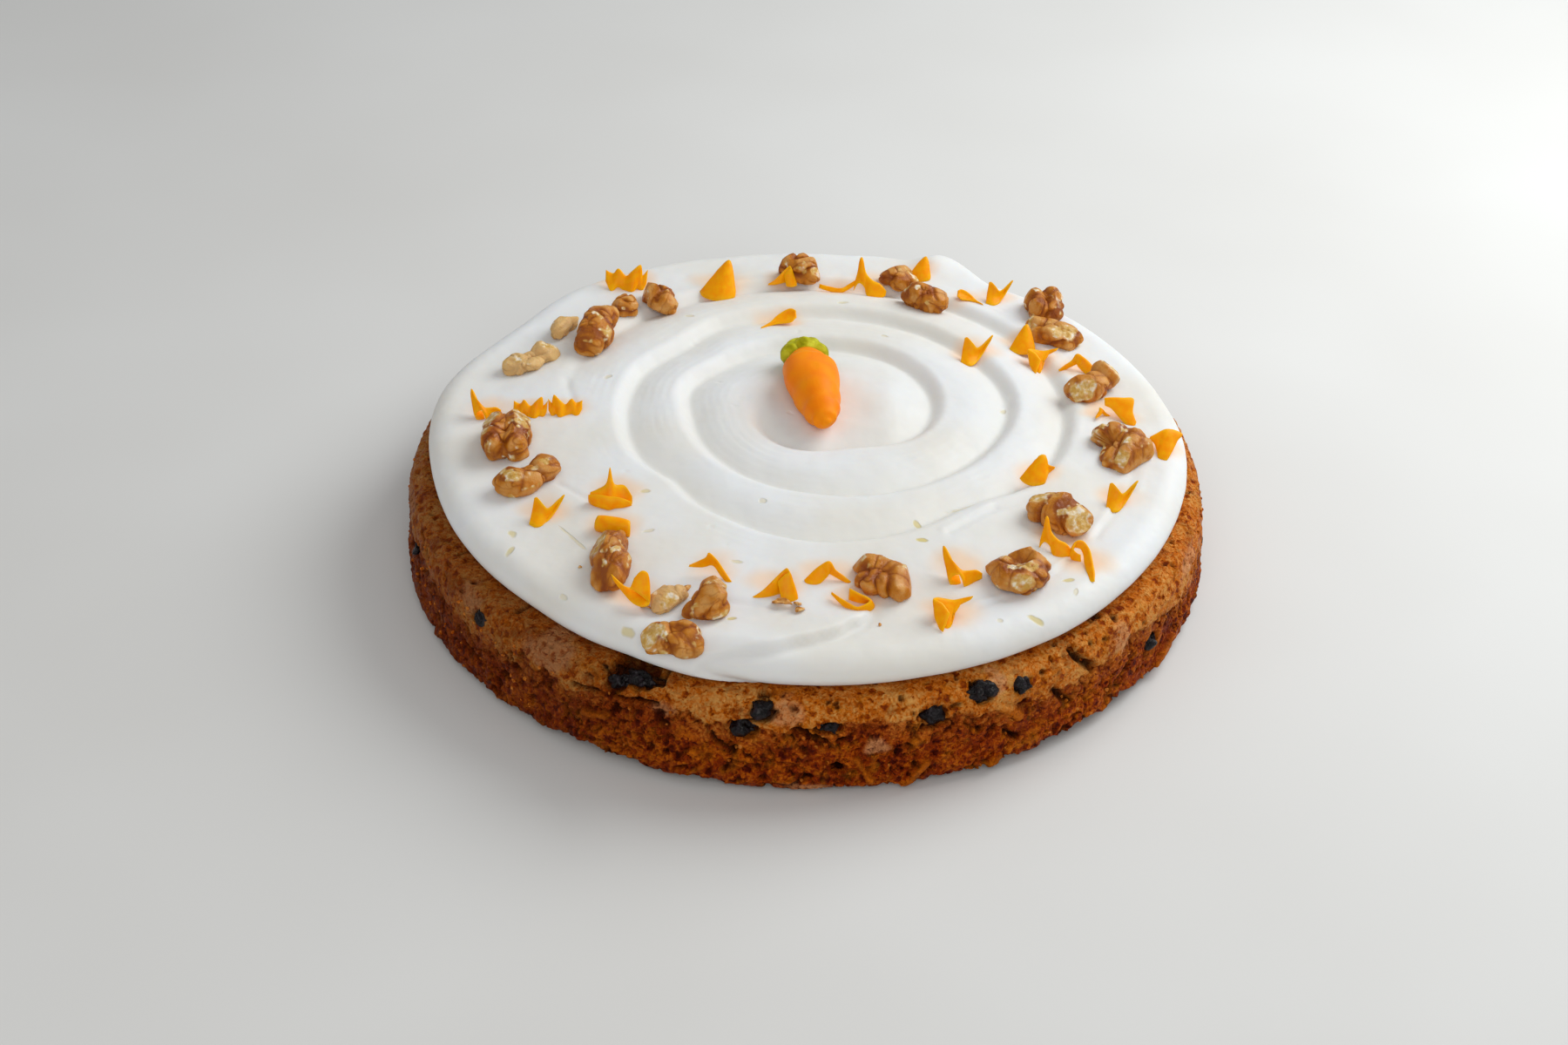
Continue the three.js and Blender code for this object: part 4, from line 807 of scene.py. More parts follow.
# [x, y, kind, width, length, height, degrees turned, tone, [broken faces]]. A tone of 1 is
# dark skin, 0 is pale. A broken face is [degrees around, degrees up, share kept].
WALNUTS = [
    [-92, -17, "half", 15.5, 20, 9, 4, 0.75, [[170, 50, 0.8], [20, 60, 0.84]]],
    [-83, -37.5, "bone", 21, 16, 7.5, 24, 0.45, [[-60, 60, 0.9]]],
    [-89.5, 31, "bone", 20.5, 13.5, 6, 28, 0.0, [[-100, 60, 0.75], [30, 60, 0.8]]],
    [-81, 53, "chip", 8, 16, 5.5, -14, 0.05, [[90, 60, 0.7]]],
    [-69, 47, "bar", 13, 25, 8.5, -8, 0.45, [[100, 30, 0.85]]],
    [-61.5, 66, "chip", 11, 12, 5.5, 30, 0.3, []],
    [-50.5, 71, "smooth", 14, 13, 7, 0, 0.55, [[-150, 30, 0.88]]],
    [-4, 93, "smooth", 17, 12, 7.5, 0, 0.5, [[-30, 40, 0.86]]],
    [29.5, 90, "flat", 12.5, 14, 6, 30, 0.3, [[0, 50, 0.8]]],
    [38.5, 75, "smooth", 18, 12, 7.5, 0, 0.55, [[160, 40, 0.86]]],
    [79, 73.5, "half", 13, 15, 8, 10, 0.45, [[-20, 40, 0.88]]],
    [80.5, 56, "flat", 21, 14, 7, -20, 0.3, [[-70, 60, 0.82]]],
    [91.5, 24, "bone", 22, 16, 8, 34, 0.65, [[-110, 45, 0.7], [20, 45, 0.76]]],
    [96.5, -13.5, "hook", 19, 21, 7, -8, 0.4, [[-120, 40, 0.82]]],
    [75.5, -51, "smooth", 17, 20, 8.5, 28, 0.5, [[-60, 40, 0.74], [150, 65, 0.84]]],
    [61.8, -79, "ring", 18.5, 18, 7.5, 0, 0.6, [[35, 40, 0.84], [-85, 30, 0.86]]],
    [22.5, -83.5, "flat", 20, 18, 6.5, -22, 0.6, [[60, 50, 0.86]]],
    [-26, -97, "upright", 14, 16, 8.5, 0, 0.55, [[30, 50, 0.82]]],
    [-38, -95, "chip", 10, 14, 5.5, -25, 0.05, [[-70, 50, 0.8]]],
    [-35.5, -111.5, "wedge", 18.5, 13.5, 7.5, -8, 0.55, [[-145, 50, 0.74]]],
    [-54.5, -80.5, "bar", 12.5, 25, 8, 3, 0.6, [[170, 35, 0.8]]],
]
NUT_BLEND = 0.12
NUT_MIDDLE = 0.25
print("walnut pieces:", len(WALNUTS))

# %% [markdown]
# ## A walnut piece
# A ball of small triangles is pulled out to the lobes' surface, as in the solid. Where two
# lobes are equally near there is a cleft, so it is cut in there and masked for painted shade.
# Warped bumps give the folds and the fine pleats between them, and planes shave their
# highest tops. A kernel snaps along flat faces, so other planes cut some sides, and the cut
# faces are crumbly and cream.

# %% Lobes and how far they reach
def lobe_depths(lobes, points):
    """How far each point lies outside each lobe; below 0 it is inside."""
    away = (points[:, None, :] - lobes[:, :3]) / lobes[:, 3:]
    return (np.linalg.norm(away, axis=2) - 1) * lobes[:, 3:].min(axis=1)


def inside_lobes(lobes, points, blend):
    """Whether each point lies within the lobes run into each other."""
    return np.exp(-lobe_depths(lobes, points) / blend).sum(axis=1) > 1


def lobe_reach(lobes, middle, directions, blend, farthest, step):
    """How far out the lobes reach from a middle along each direction."""
    outer = np.full(len(directions), farthest)
    for _ in range(int(0.85 * farthest / step)):
        outside = ~inside_lobes(lobes, middle + directions * outer[:, None], blend)
        if not outside.any():
            break
        outer[outside] -= step
    inner = outer
    outer = outer + step
    for _ in range(9):
        half = (inner + outer) / 2
        inside = inside_lobes(lobes, middle + directions * half[:, None], blend)
        inner = np.where(inside, half, inner)
        outer = np.where(inside, outer, half)
    return inner


def facing(around, up):
    """The direction at so many degrees around from +X and up from level."""
    a, e = math.radians(around), math.radians(up)
    return np.array([math.cos(a) * math.cos(e), math.sin(a) * math.cos(e), math.sin(e)])


print("straight up is", facing(0, 90).round(2))

# %% One walnut piece
NUT_BALL = ball(6)
NUT_FACETS = 12


def cut_flat(points, inner, normal, kept, give, rough=0.0):
    """Pushes what lies beyond a plane back to it; also how far each point was beyond."""
    away = (points - inner) @ normal
    over = away - kept * away.max() + rough
    return points - normal * (np.maximum(over, 0) * give)[:, None], over


def wrinkles(plain, shares, lobes, seed):
    """Relief of a kernel's folds and pleats, and how deep in a fold each point lies."""
    nearest = np.sort(lobe_depths(lobes, shares), axis=1)
    cleft = np.exp(-(nearest[:, 1] - nearest[:, 0]) / 0.05) * ramp(shares[:, 2], 0.0, 0.3)
    laid = turned(plain, 53 * seed) * [1, 0.5, 0.8] + 40 * seed
    laid = warped(laid, 5.0, 2.0, seed)
    folds = np.abs(bumps(laid, 4.4, seed + 1))
    pleats = np.abs(bumps(laid, 2.0, seed + 2))
    small = bumps(warped(plain + 9 * seed, 2.0, 0.8, seed), 1.2, seed + 3)
    valleys = (1 - ramp(folds, 0.0, 0.2)) * ramp(bumps(laid, 7.0, seed + 4), -0.5, 0.1)
    creases = (1 - ramp(pleats, 0.0, 0.22)) * ramp(bumps(laid, 4.5, seed + 5), -0.3, 0.3)
    relief = 1.7 * folds + 0.45 * pleats + 0.09 * small - 0.75
    relief = relief - 0.5 * valleys - 0.25 * creases - 0.45 * cleft
    return relief, np.maximum(np.maximum(0.7 * cleft, valleys), 0.6 * creases)


def walnut_surface(kind, width, length, height, yaw, broken, seed):
    """Points and masks of a piece, and the height of its plain shape."""
    directions, _ = NUT_BALL
    lobes = np.array(NUT_KINDS[kind])
    middle = np.array([0, 0, NUT_MIDDLE])
    reach = lobe_reach(lobes, middle, directions, NUT_BLEND, 1.8, 0.04)
    size = np.array([width / 2, length / 2, height])
    shares = middle + directions * reach[:, None]
    plain = shares * size
    relief, deep = wrinkles(plain, shares, lobes, seed)
    # crest: the tops of the relief, for a painted highlight
    crest = ramp(relief, -0.7, 0.35)
    points = turned(plain + directions * relief[:, None], yaw)

    inner = np.array([0, 0, NUT_MIDDLE * height])
    draw = np.random.default_rng(seed)
    for _ in range(NUT_FACETS):
        normal = facing(draw.uniform(0, 360), draw.uniform(0, 75))
        points, _ = cut_flat(points, inner, normal, draw.uniform(0.78, 0.96), 0.7)
    face = np.zeros(len(points))
    for around, up, kept in broken:
        crumble = -0.35 * layered(points + 7 * seed, 2.2, 3, seed)
        points, over = cut_flat(points, inner, facing(around, up), kept, 0.85, crumble)
        face = np.maximum(face, ramp(over, -0.25, 0.5))
    chips = ramp(layered(points + 15 * seed, 3.2, 3, seed + 6), 0.55, 0.8)
    flesh = np.maximum(face * ramp(layered(points + 3 * seed, 3.0, 3, seed + 7), -0.75, 0.0), chips)
    points[:, 2] = np.minimum(points[:, 2], plain[:, 2].max())
    # cleft holds painted shade in the clefts and folds; crest holds a painted highlight on the tops
    masks = {"cleft": deep * (1 - 0.7 * face), "broken": flesh, "crest": crest}
    return points, masks, plain[:, 2].max()


print("triangles in a walnut piece:", len(NUT_BALL[1]))

# %% [markdown]
# ## The walnuts' finish
# Thin papery skin, tan to brown, lies over cream flesh. It is darker along fine veins,
# and shines a little; painted shade darkens the clefts and folds, and a painted highlight
# lightens the crests. Where the kernel is broken the flesh shows, pale and grainy, with white
# crumbs.

# %% The walnuts' material
walnut_material, tree, shader = new_material(
    "walnut_kernel", Specular_IOR_Level=0.3,
    Subsurface_Weight=0.2, Subsurface_Scale=0.0018, Subsurface_Radius=(1.0, 0.6, 0.3),
)
tone = stored(tree, "tone")
lit = effect(tree, mottling, Size=3.4, Low=0.34, High=0.68, Layers=4.0)
lit = calculate(tree, "MULTIPLY", lit, 0.45)
# painted highlight on the crests
lit = calculate(tree, "MULTIPLY_ADD", stored(tree, "crest"), 0.6, lit)
lit = calculate(tree, "SUBTRACT", lit, spread(tree, tone, 0, 1, -0.15, 0.3))
skin = three_colours(tree, lit, (0.33, 0.078, 0.0), (0.55, 0.190, 0.006), (0.70, 0.36, 0.10))
lines = calculate(tree, "MULTIPLY", effect(tree, veins, Size=6.0, Width=0.012), 0.4)
# painted shade in the clefts and folds, joined with the skin's real dark veins
dark = calculate(tree, "MAXIMUM", lines, stored(tree, "cleft"))
skin = tinted(tree, skin, (0.22, 0.040, 0.0), dark, 0.75)
skin = tinted(tree, skin, (0.72, 0.49, 0.21), spread(tree, tone, 0.0, 0.3, 0.75, 0.0))
flesh = effect(tree, mottling, Size=1.9, Low=0.38, High=0.64, Layers=3.0)
flesh = three_colours(tree, flesh, (0.60, 0.33, 0.06), (0.72, 0.48, 0.17), (0.86, 0.76, 0.60))
colour = mix_colours(tree, stored(tree, "broken"), skin, flesh)
shine = spread(tree, effect(tree, mottling, Size=3.0, Shift=5.0), 0, 1, 0.32, 0.6)
paint(tree, shader, colour, shine)
raise_surface(tree, shader, effect(tree, grain, Size=0.9, Pits=0.3), 0.22)


# %% Put the walnut pieces on the icing
for number, (x, y, kind, width, length, height, yaw, tone, broken) in enumerate(WALNUTS, 1):
    node = f"walnut_{number:02d}"
    points, masks, plain_top = walnut_surface(kind, width, length, height, yaw, broken, number)
    points = points + [x, y, top_of(node) - plain_top]
    masks["tone"] = np.full(len(points), tone)
    make_piece(f"kernel_{number:02d}", points, NUT_BALL[1], walnut_material, node, masks)
print("walnut pieces placed")

# %% [markdown]
# ## The carrot curls' tables
# A curl is a thin shaving of raw carrot that rolled up as it was cut. Each kind is a strip
# between two edges; a row holds a point of one edge and the point across from it.

# %% Kinds of curl
CURL_KINDS = {  # rows of two or three points across: [right, up, height], as shares of the size
    "lily": [
        [-0.04, -0.72, 0.12, -0.16, -0.3, 0.35], [-0.22, -0.93, 0, -0.42, -0.15, 0.5],
        [-0.46, -0.84, 0.08, -0.72, 0.4, 0.95], [-0.58, -0.55, 0.35, -0.93, 0.92, 1.42],
        [-0.4, -0.3, 0.62, -0.83, 1, 1.5], [-0.16, -0.27, 0.7, -0.52, 0.42, 1.15],
        [0, -0.5, 0.5, -0.1, -0.02, 0.8], [0.14, -0.86, 0.05, 0.25, -0.05, 0.75],
        [0.6, -0.56, 0.12, 0.62, -0.02, 0.72], [0.9, -0.4, 0.25, 0.88, -0.16, 0.5],
    ],
    "vee": [
        [-0.83, -0.7, 0.05, -0.72, 0.03, 0.43, -0.62, 0.7, 1.05],
        [-0.72, -0.8, 0, -0.58, 0, 0.43, -0.45, 0.75, 1.1],
        [-0.45, -0.9, 0, -0.28, -0.22, 0.3, -0.12, 0.4, 0.85],
        [-0.15, -0.86, 0, -0.02, -0.31, 0.19, 0.1, 0.18, 0.62],
        [0.12, -0.62, 0.05, 0.23, -0.13, 0.24, 0.34, 0.3, 0.66],
        [0.5, -0.05, 0.35, 0.58, 0.31, 0.52, 0.66, 0.62, 0.92],
        [0.93, 0.8, 0.98, 0.98, 0.88, 1.02, 1.02, 0.94, 1.1],
    ],
    "boat": [
        [-1.02, -0.28, 0.52, -1.04, -0.58, 0.04, -0.96, -0.16, 0.46],
        [-0.7, -0.26, 0.6, -0.72, -0.76, 0, -0.62, 0, 0.62],
        [-0.3, -0.3, 0.62, -0.3, -0.84, 0, -0.22, 0.28, 0.92],
        [-0.05, -0.33, 0.6, -0.03, -0.87, 0, -0.06, 1.02, 1.55],
        [0.2, -0.35, 0.58, 0.24, -0.86, 0, 0.14, 0.28, 0.9],
        [0.55, -0.4, 0.54, 0.6, -0.8, 0, 0.62, 0.2, 0.78],
        [0.96, -0.55, 0.34, 1, -0.68, 0.06, 0.98, -0.3, 0.5],
    ],
    "barrel": [
        [-0.98, -0.25, 0.08, 0.9, -0.6, 0.04], [-1.04, -0.1, 0.42, 0.96, -0.42, 0.36],
        [-1, 0.26, 0.82, 0.98, -0.04, 0.76], [-0.88, 0.54, 0.96, 0.95, 0.28, 0.92],
        [-0.8, 0.55, 0.72, 0.86, 0.32, 0.68], [-0.78, 0.32, 0.36, 0.82, 0.08, 0.34],
    ],
    "bell": [
        [0.05, 0.02, 0.75, 0.22, 0.5, 1.05], [0.35, -0.16, 0.62, 0.5, 0.84, 1.3],
        [0.72, -0.42, 0.4, 0.74, 0.9, 1.36], [1.02, -0.68, 0.12, 0.92, 0.72, 1.2],
        [0.96, -0.84, 0, 0.9, 0.1, 0.5], [0.62, -0.9, 0, 0.62, -0.1, 0.3],
        [0.12, -0.68, 0.05, 0.12, 0.02, 0.34], [-0.4, -0.18, 0.25, -0.28, 0.12, 0.48],
        [-0.88, 0.44, 0.6, -0.98, 0.68, 0.8],
    ],
    "arch": [
        [-1.15, 0.1, 0.75, -1.12, 0.2, 0.82], [-0.65, 0.08, 0.68, -0.74, 0.38, 0.95],
        [-0.3, 0.12, 0.72, -0.32, 0.6, 1.2], [-0.05, 0.2, 0.8, -0.14, 0.84, 1.45],
        [0.15, 0.1, 0.65, 0.26, 0.5, 1.1], [0.45, -0.3, 0.32, 0.62, 0, 0.6],
        [0.84, -0.76, 0, 1.02, -0.58, 0.18],
    ],
    "tent": [
        [-1.15, -0.64, 0, -1.12, -0.54, 0.06], [-0.7, -0.62, 0, -0.66, -0.22, 0.35],
        [-0.28, -0.52, 0.04, -0.15, 0.3, 0.8], [0.15, -0.4, 0.05, 0.24, 0.7, 1.12],
        [0.6, -0.42, 0.02, 0.42, 0.82, 1.26], [0.97, -0.62, 0, 0.5, 0.66, 1.16],
        [0.64, -0.76, 0, 0.3, 0.5, 1.02], [0.22, -0.72, 0.02, 0, 0.18, 0.74],
    ],
    "roof": [
        [-1.05, -0.45, 0, -1.12, -0.24, 0.12], [-0.55, -0.5, 0, -0.66, 0.24, 0.5],
        [-0.12, -0.14, 0.2, -0.34, 0.5, 0.75], [-0.02, 0, 0.35, -0.06, 0.66, 0.92],
        [0.04, 0.06, 0.35, 0.12, 0.6, 0.86], [0.28, -0.06, 0.25, 0.32, 0.28, 0.56],
        [0.62, -0.24, 0.12, 0.68, 0.02, 0.36], [0.98, -0.4, 0, 1.03, -0.26, 0.14],
    ],
    "scoop": [
        [-1.22, 0.28, 0.48, -1.18, 0.4, 0.55], [-0.8, -0.14, 0.28, -0.7, 0.1, 0.48],
        [-0.3, -0.5, 0.08, -0.16, -0.2, 0.45], [0.25, -0.66, 0, 0.2, -0.34, 0.42],
        [0.75, -0.64, 0, 0.6, -0.2, 0.5], [1.1, -0.36, 0.12, 0.86, 0.02, 0.62],
        [0.92, -0.14, 0.1, 0.66, 0.2, 0.72], [0.4, -0.22, 0.06, 0.25, 0.38, 0.8],
        [-0.28, -0.06, 0.12, -0.24, 0.62, 0.86],
    ],
    "funnel": [
        [-0.46, -0.76, 0.15, -0.15, 0.1, 0.72], [-0.62, -0.62, 0.15, -0.5, 0.55, 0.98],
        [-0.76, -0.26, 0.3, -0.9, 0.72, 1.06], [-0.62, -0.36, 0.04, -0.7, 0.8, 0.9],
        [-0.3, -0.72, 0, -0.3, 0.74, 0.76], [-0.08, -0.56, 0.05, 0.05, 0.7, 0.72],
        [0, -0.08, 0.32, 0.35, 0.76, 0.76], [0.32, 0.44, 0.58, 0.65, 0.84, 0.84],
        [0.85, 0.76, 0.84, 0.95, 0.89, 0.92],
    ],
    "spur": [
        [-1.04, -0.6, 0.1, -0.98, -0.2, 0.42], [-0.82, -0.24, 0.45, -0.8, 0.62, 1.1],
        [-0.62, -0.28, 0.48, -0.72, 1.12, 1.56], [-0.46, -0.5, 0.34, -0.58, 1.08, 1.52],
        [-0.38, -0.82, 0.1, -0.4, 0.36, 0.98], [-0.2, -1.04, 0, -0.05, -0.05, 0.72],
        [0.28, -1.06, 0, 0.36, -0.25, 0.58], [0.64, -0.88, 0.04, 0.7, -0.62, 0.28],
    ],
    "hook": [
        [-0.05, -0.02, 0.04, -0.1, 0.36, 0.42], [-0.34, -0.02, 0, -0.3, 0.46, 0.46],
        [-0.6, 0.22, 0.2, -0.48, 0.7, 0.7], [-0.5, 0.66, 0.54, -0.3, 1.06, 0.92],
        [-0.12, 0.66, 0.54, 0.04, 1.06, 0.92], [0.04, 0.36, 0.36, 0.34, 0.68, 0.68],
        [0.08, -0.06, 0.16, 0.46, 0.14, 0.46], [0.18, -0.56, 0.04, 0.54, -0.48, 0.24],
        [0.28, -1, 0, 0.5, -0.95, 0.08],
    ],
    "cone": [
        [1.16, 0.1, 0.52, 1.2, 0.24, 0.62], [0.82, -0.2, 0.26, 0.76, 0.4, 0.78],
        [0.7, -0.5, 0.1, 0.64, 0.8, 1.14], [0.5, -0.86, 0, 0.56, 0.95, 1.28],
        [0.05, -1.02, 0, 0.42, 1, 1.34], [-0.5, -0.98, 0, 0.28, 0.96, 1.3],
        [-0.86, -0.78, 0, 0.1, 0.84, 1.18], [-1.03, -0.55, 0.05, -0.14, 0.6, 1],
    ],
    "cap": [
        [0.66, -0.6, 0.05, 0.46, 0.62, 1.02], [0.6, -0.86, 0, 0.44, 0.84, 1.2],
        [0.1, -1.02, 0, 0.36, 0.94, 1.3], [-0.42, -0.98, 0, 0.26, 0.92, 1.28],
        [-0.84, -0.8, 0, 0.1, 0.8, 1.14], [-0.98, -0.55, 0.05, -0.08, 0.56, 0.95],
    ],
    "trumpet": [
        [-0.82, 0.24, 0.58, -0.72, 0.38, 0.66], [-0.5, -0.05, 0.4, -0.36, 0.6, 0.86],
        [-0.36, -0.6, 0.1, 0, 0.8, 1], [-0.3, -0.95, 0, 0.26, 0.86, 1.06],
        [0.05, -1.06, 0, 0.56, 0.84, 1.02], [0.32, -0.78, 0.1, 0.86, 0.75, 0.96],
        [0.72, 0, 0.5, 1.05, 0.66, 0.88], [1.08, 0.44, 0.74, 1.18, 0.56, 0.8],
    ],
    "drape": [
        [-0.42, 0.38, 0.7, -0.44, 0.78, 0.92], [-0.1, 0.24, 0.6, 0, 0.82, 0.98],
        [0.16, -0.05, 0.42, 0.5, 0.82, 0.98], [0.46, -0.4, 0.22, 1.08, 0.78, 0.92],
        [0.76, -0.68, 0.04, 1.04, 0.1, 0.5], [1.1, -0.74, 0, 1.2, -0.45, 0.12],
    ],
    "spoon": [
        [-1, -0.66, 0.02, -0.98, -0.6, 0.04, -0.96, -0.54, 0.07],
        [-0.55, -0.46, 0.04, -0.53, -0.37, 0.06, -0.5, -0.26, 0.14],
        [-0.12, -0.34, 0.1, -0.15, -0.14, 0.12, -0.18, 0.1, 0.3],
        [0.32, -0.3, 0.16, 0.29, 0.04, 0.22, 0.26, 0.42, 0.52],
        [0.66, -0.22, 0.24, 0.63, 0.14, 0.32, 0.6, 0.54, 0.62],
        [0.9, 0.06, 0.38, 0.88, 0.22, 0.42, 0.84, 0.42, 0.58],
    ],
    "ribbon": [
        [-1.15, -0.06, 0.1, -1.12, 0.18, 0.24], [-0.55, -0.26, 0.06, -0.52, 0.02, 0.22],
        [0.1, -0.34, 0.02, 0.12, -0.06, 0.2], [0.62, -0.08, 0.1, 0.56, 0.2, 0.34],
        [1.22, 0.4, 0.42, 1.18, 0.62, 0.62],
    ],
    "ragged": [
        [-1, -0.1, 0.3, -1, 0.45, 0.75], [-0.7, -0.62, 0, -0.62, 0.3, 0.6],
        [-0.38, -0.4, 0.1, -0.36, 0.52, 0.9], [-0.05, -0.58, 0, 0, 0.18, 0.55],
        [0.3, -0.7, 0, 0.3, 0.4, 0.85], [0.55, -0.45, 0.1, 0.7, 0.72, 1.1],
        [0.78, -0.6, 0, 0.78, 0.22, 0.6], [0.98, -0.2, 0.25, 1.06, 0.5, 0.85],
    ],
}
print("kinds of curl:", len(CURL_KINDS))

# %% The curls
CURLS = [  # [x, y, kind, size, degrees turned, 1 or -1 for a mirrored one]
    [-76.4, -50.8, "vee", 5.4, 0, 1], [-57.5, -41, "boat", 6.4, 0, 1],
    [-55.6, -59.3, "barrel", 5.3, 0, 1], [-48.5, -91, "bell", 5.6, 0, 1],
    [-26, -77.9, "arch", 5.7, 0, 1], [-7.1, -84.7, "tent", 6.2, 0, 1],
    [7.4, -80, "roof", 6.2, 0, 1], [14.6, -89.8, "scoop", 5.3, 0, 1],
    [45.7, -73.6, "lily", 6.3, 0, 1], [42.3, -95.3, "funnel", 6.1, 0, 1],
    [74.4, -57.2, "spur", 5.5, 0, 1], [81, -68.1, "hook", 5.7, 0, 1],
    [69.8, -24.3, "cone", 4.8, 0, 1], [94.5, -34.7, "vee", 5.3, 0, 1],
    [110.3, -4.9, "trumpet", 5.3, 0, 1], [96.2, 12.1, "drape", 6.1, 0, 1],
    [90.8, 9.8, "arch", 3.2, 50, 1], [87, 39.3, "roof", 5.8, 0, -1],
    [76.2, 43.1, "funnel", 5.4, 0, 1], [69.5, 55, "cap", 5.1, 12, 1],
    [54.2, 46.4, "vee", 5.7, 0, 1], [63.5, 85, "vee", 5, 0, 1], [53.9, 82.5, "spoon", 4.6, 0, -1],
    [37.9, 100.9, "cap", 4.6, 0, 1], [21.4, 93.3, "spur", 6.4, 0, 1],
    [9.7, 88.7, "ribbon", 5.9, 0, 1], [-9.2, 91.7, "tent", 4.6, 0, 1],
    [-30.3, 89.1, "cap", 7.3, 0, 1], [-62.7, 88.9, "ragged", 7, 0, 1],
    [-9.9, 63.1, "spoon", 6.2, 0, 1], [-100.4, 6.2, "lily", 5.3, 0, 1],
    [-86.5, 3.5, "ragged", 5.2, 0, 1], [-75.5, 4.2, "ragged", 5.2, 0, -1],
]
CURLS_SEEN_FROM = 35  # degrees above the icing from which the rows are drawn
CURL_THICKNESS = 0.9
print("carrot curls:", len(CURLS))

# %% [markdown]
# ## A carrot curl
# The strip is drawn finely through its rows, then given a thickness that thins towards its
# cut edges, where the shaving is paler. A Solidify modifier would keep the edges blunt.

# %% One carrot curl
CURL_LONG = 44
CURL_ACROSS = 14


def curl_surface(kind, size, side, seed):
    """Points, faces and masks of a curl, and the height of its plain shape."""
    rows = np.array(CURL_KINDS[kind]).reshape(len(CURL_KINDS[kind]), -1, 3)
    middle = rows[:, 1] if rows.shape[1] == 3 else rows.mean(axis=1)
    stations = np.concatenate([rows[:, 0], rows[:, -1], middle], axis=1)
    drawn = through(stations, np.linspace(0, 1, CURL_LONG + 1))[:, None, :]
    first, last, middle = np.split(drawn, 3, axis=2)
    across = np.linspace(0, 1, CURL_ACROSS + 1)[None, :, None]
    hang = 4 * across * (1 - across) * (middle - (first + last) / 2)
    drawn = first * (1 - across) + last * across + hang
    slope = np.radians(CURLS_SEEN_FROM)
    back = (drawn[..., 1] - drawn[..., 2] * np.cos(slope)) / np.sin(slope)
    sheet = np.stack([drawn[..., 0], back, drawn[..., 2]], axis=2) * size
    normal = np.cross(np.gradient(sheet, axis=1), np.gradient(sheet, axis=0))
    normal /= np.maximum(np.linalg.norm(normal, axis=2), 1e-9)[..., None]
    waves = 0.14 * bumps(sheet.reshape(-1, 3) + 30 * seed, 3.2, seed).reshape(sheet.shape[:2])
    waved = sheet + normal * waves[..., None]
    u = np.abs(2 * np.linspace(0, 1, CURL_ACROSS + 1) - 1)[None, :]
    v = np.abs(2 * np.linspace(0, 1, CURL_LONG + 1) - 1)[:, None]
    border = np.maximum(u, v**3)
    half = CURL_THICKNESS / 2 * (0.25 + 0.75 * (1 - border**5))
    thick = normal * half[..., None]
    points = np.concatenate([waved + thick, waved - thick]).reshape(-1, 3)
    faces = sheet_faces(CURL_LONG + 1, CURL_ACROSS + 1)
    if side < 0:
        points[:, 0] *= -1
        faces = faces[:, ::-1]
    edge = np.tile(ramp(border, 0.7, 1.0).ravel(), 2)
    return points, faces.tolist(), {"edge": edge}, sheet[..., 2].max() + CURL_THICKNESS / 2


print("a curl is", CURL_LONG, "by", CURL_ACROSS, "faces on each side")

# %% The curls' material
curl_material, tree, shader = new_material(
    "raw_carrot", Specular_IOR_Level=0.1,
    Subsurface_Weight=0.3, Subsurface_Scale=0.0018, Subsurface_Radius=(1.0, 0.4, 0.08),
)
fibres = effect(tree, mottling, Size=2.2, Low=0.3, High=0.7)
colour = three_colours(tree, fibres, (1.0, 0.315, 0.0), (1.0, 0.375, 0.0), (1.0, 0.44, 0.0))
colour = tinted(tree, colour, (1.0, 0.52, 0.01), stored(tree, "edge"), 0.55)
paint(tree, shader, colour, spread(tree, fibres, 0, 1, 0.3, 0.48))
raise_surface(tree, shader, effect(tree, grain, Size=1.3, Pits=0.05), 0.08)

# %% Put the curls on the icing
for number, (x, y, kind, size, yaw, side) in enumerate(CURLS, 1):
    node = f"curl_{number:02d}"
    points, faces, masks, plain_top = curl_surface(kind, size, side, number)
    points = turned(points, yaw) + [x, y, top_of(node) - plain_top]
    make_piece(f"shaving_{number:02d}", points, faces, curl_material, node, masks)
print("faces in a curl:", len(faces))

# %% [markdown]
# ## The baked layer's form
# The side of the cake was against the tin. When it came out, a thin smooth crust stayed on
# the shoulder and tore along a ragged line; below it the moist crumb shows, full of pores,
# with tears, carrot shreds and raisins in hollows, and pores, tears and hollows are painted
# dark with shade. A displace modifier with textures could roughen a drum, but here each effect
# is worked out by itself, so that the torn crust stands proud of the crumb and each raisin sits
# in its own hollow.

# %% Sizes of the baked layer
SPONGE_PROFILE = [  # how far the side stands out from SPONGE_RADIUS at each height
    [0, 0], [4, 1.3], [15, 0.4], [24, -0.4], [28, -1.8], [30.5, -4.2], [SPONGE_HEIGHT, -8],
]
RAISINS = [  # [degrees, height, half width, half height]
    [-112, 29.5, 4.8, 2.2], [-114.4, 27.5, 3.4, 2.0], [-95, 27.6, 3.6, 2.6],
    [-97.1, 21.6, 4.0, 2.4], [-86.2, 23.4, 3.2, 2.0], [-72.6, 24.2, 3.6, 3.0],
    [-65.3, 26.6, 3.8, 2.6], [-59.4, 26.0, 2.4, 1.6], [-33, 14, 3.4, 2.4],
    [-9, 15, 3.0, 2.2], [14, 9, 3.6, 2.2], [24, 24, 3.8, 2.4], [47, 17, 3.2, 2.6],
    [70, 26, 3.6, 2.2], [83, 12, 3.4, 2.4], [104, 21, 4.0, 2.4], [126, 25, 3.2, 2.0],
    [149, 13, 3.6, 2.6], [168, 23, 3.4, 2.2], [197, 18, 3.8, 2.2], [221, 25, 3.0, 2.2],
]
RAISIN_DEPTH = 2.4
RAISIN_SINK = 2.0
RAISIN_LIMIT = SPONGE_RADIUS + 1
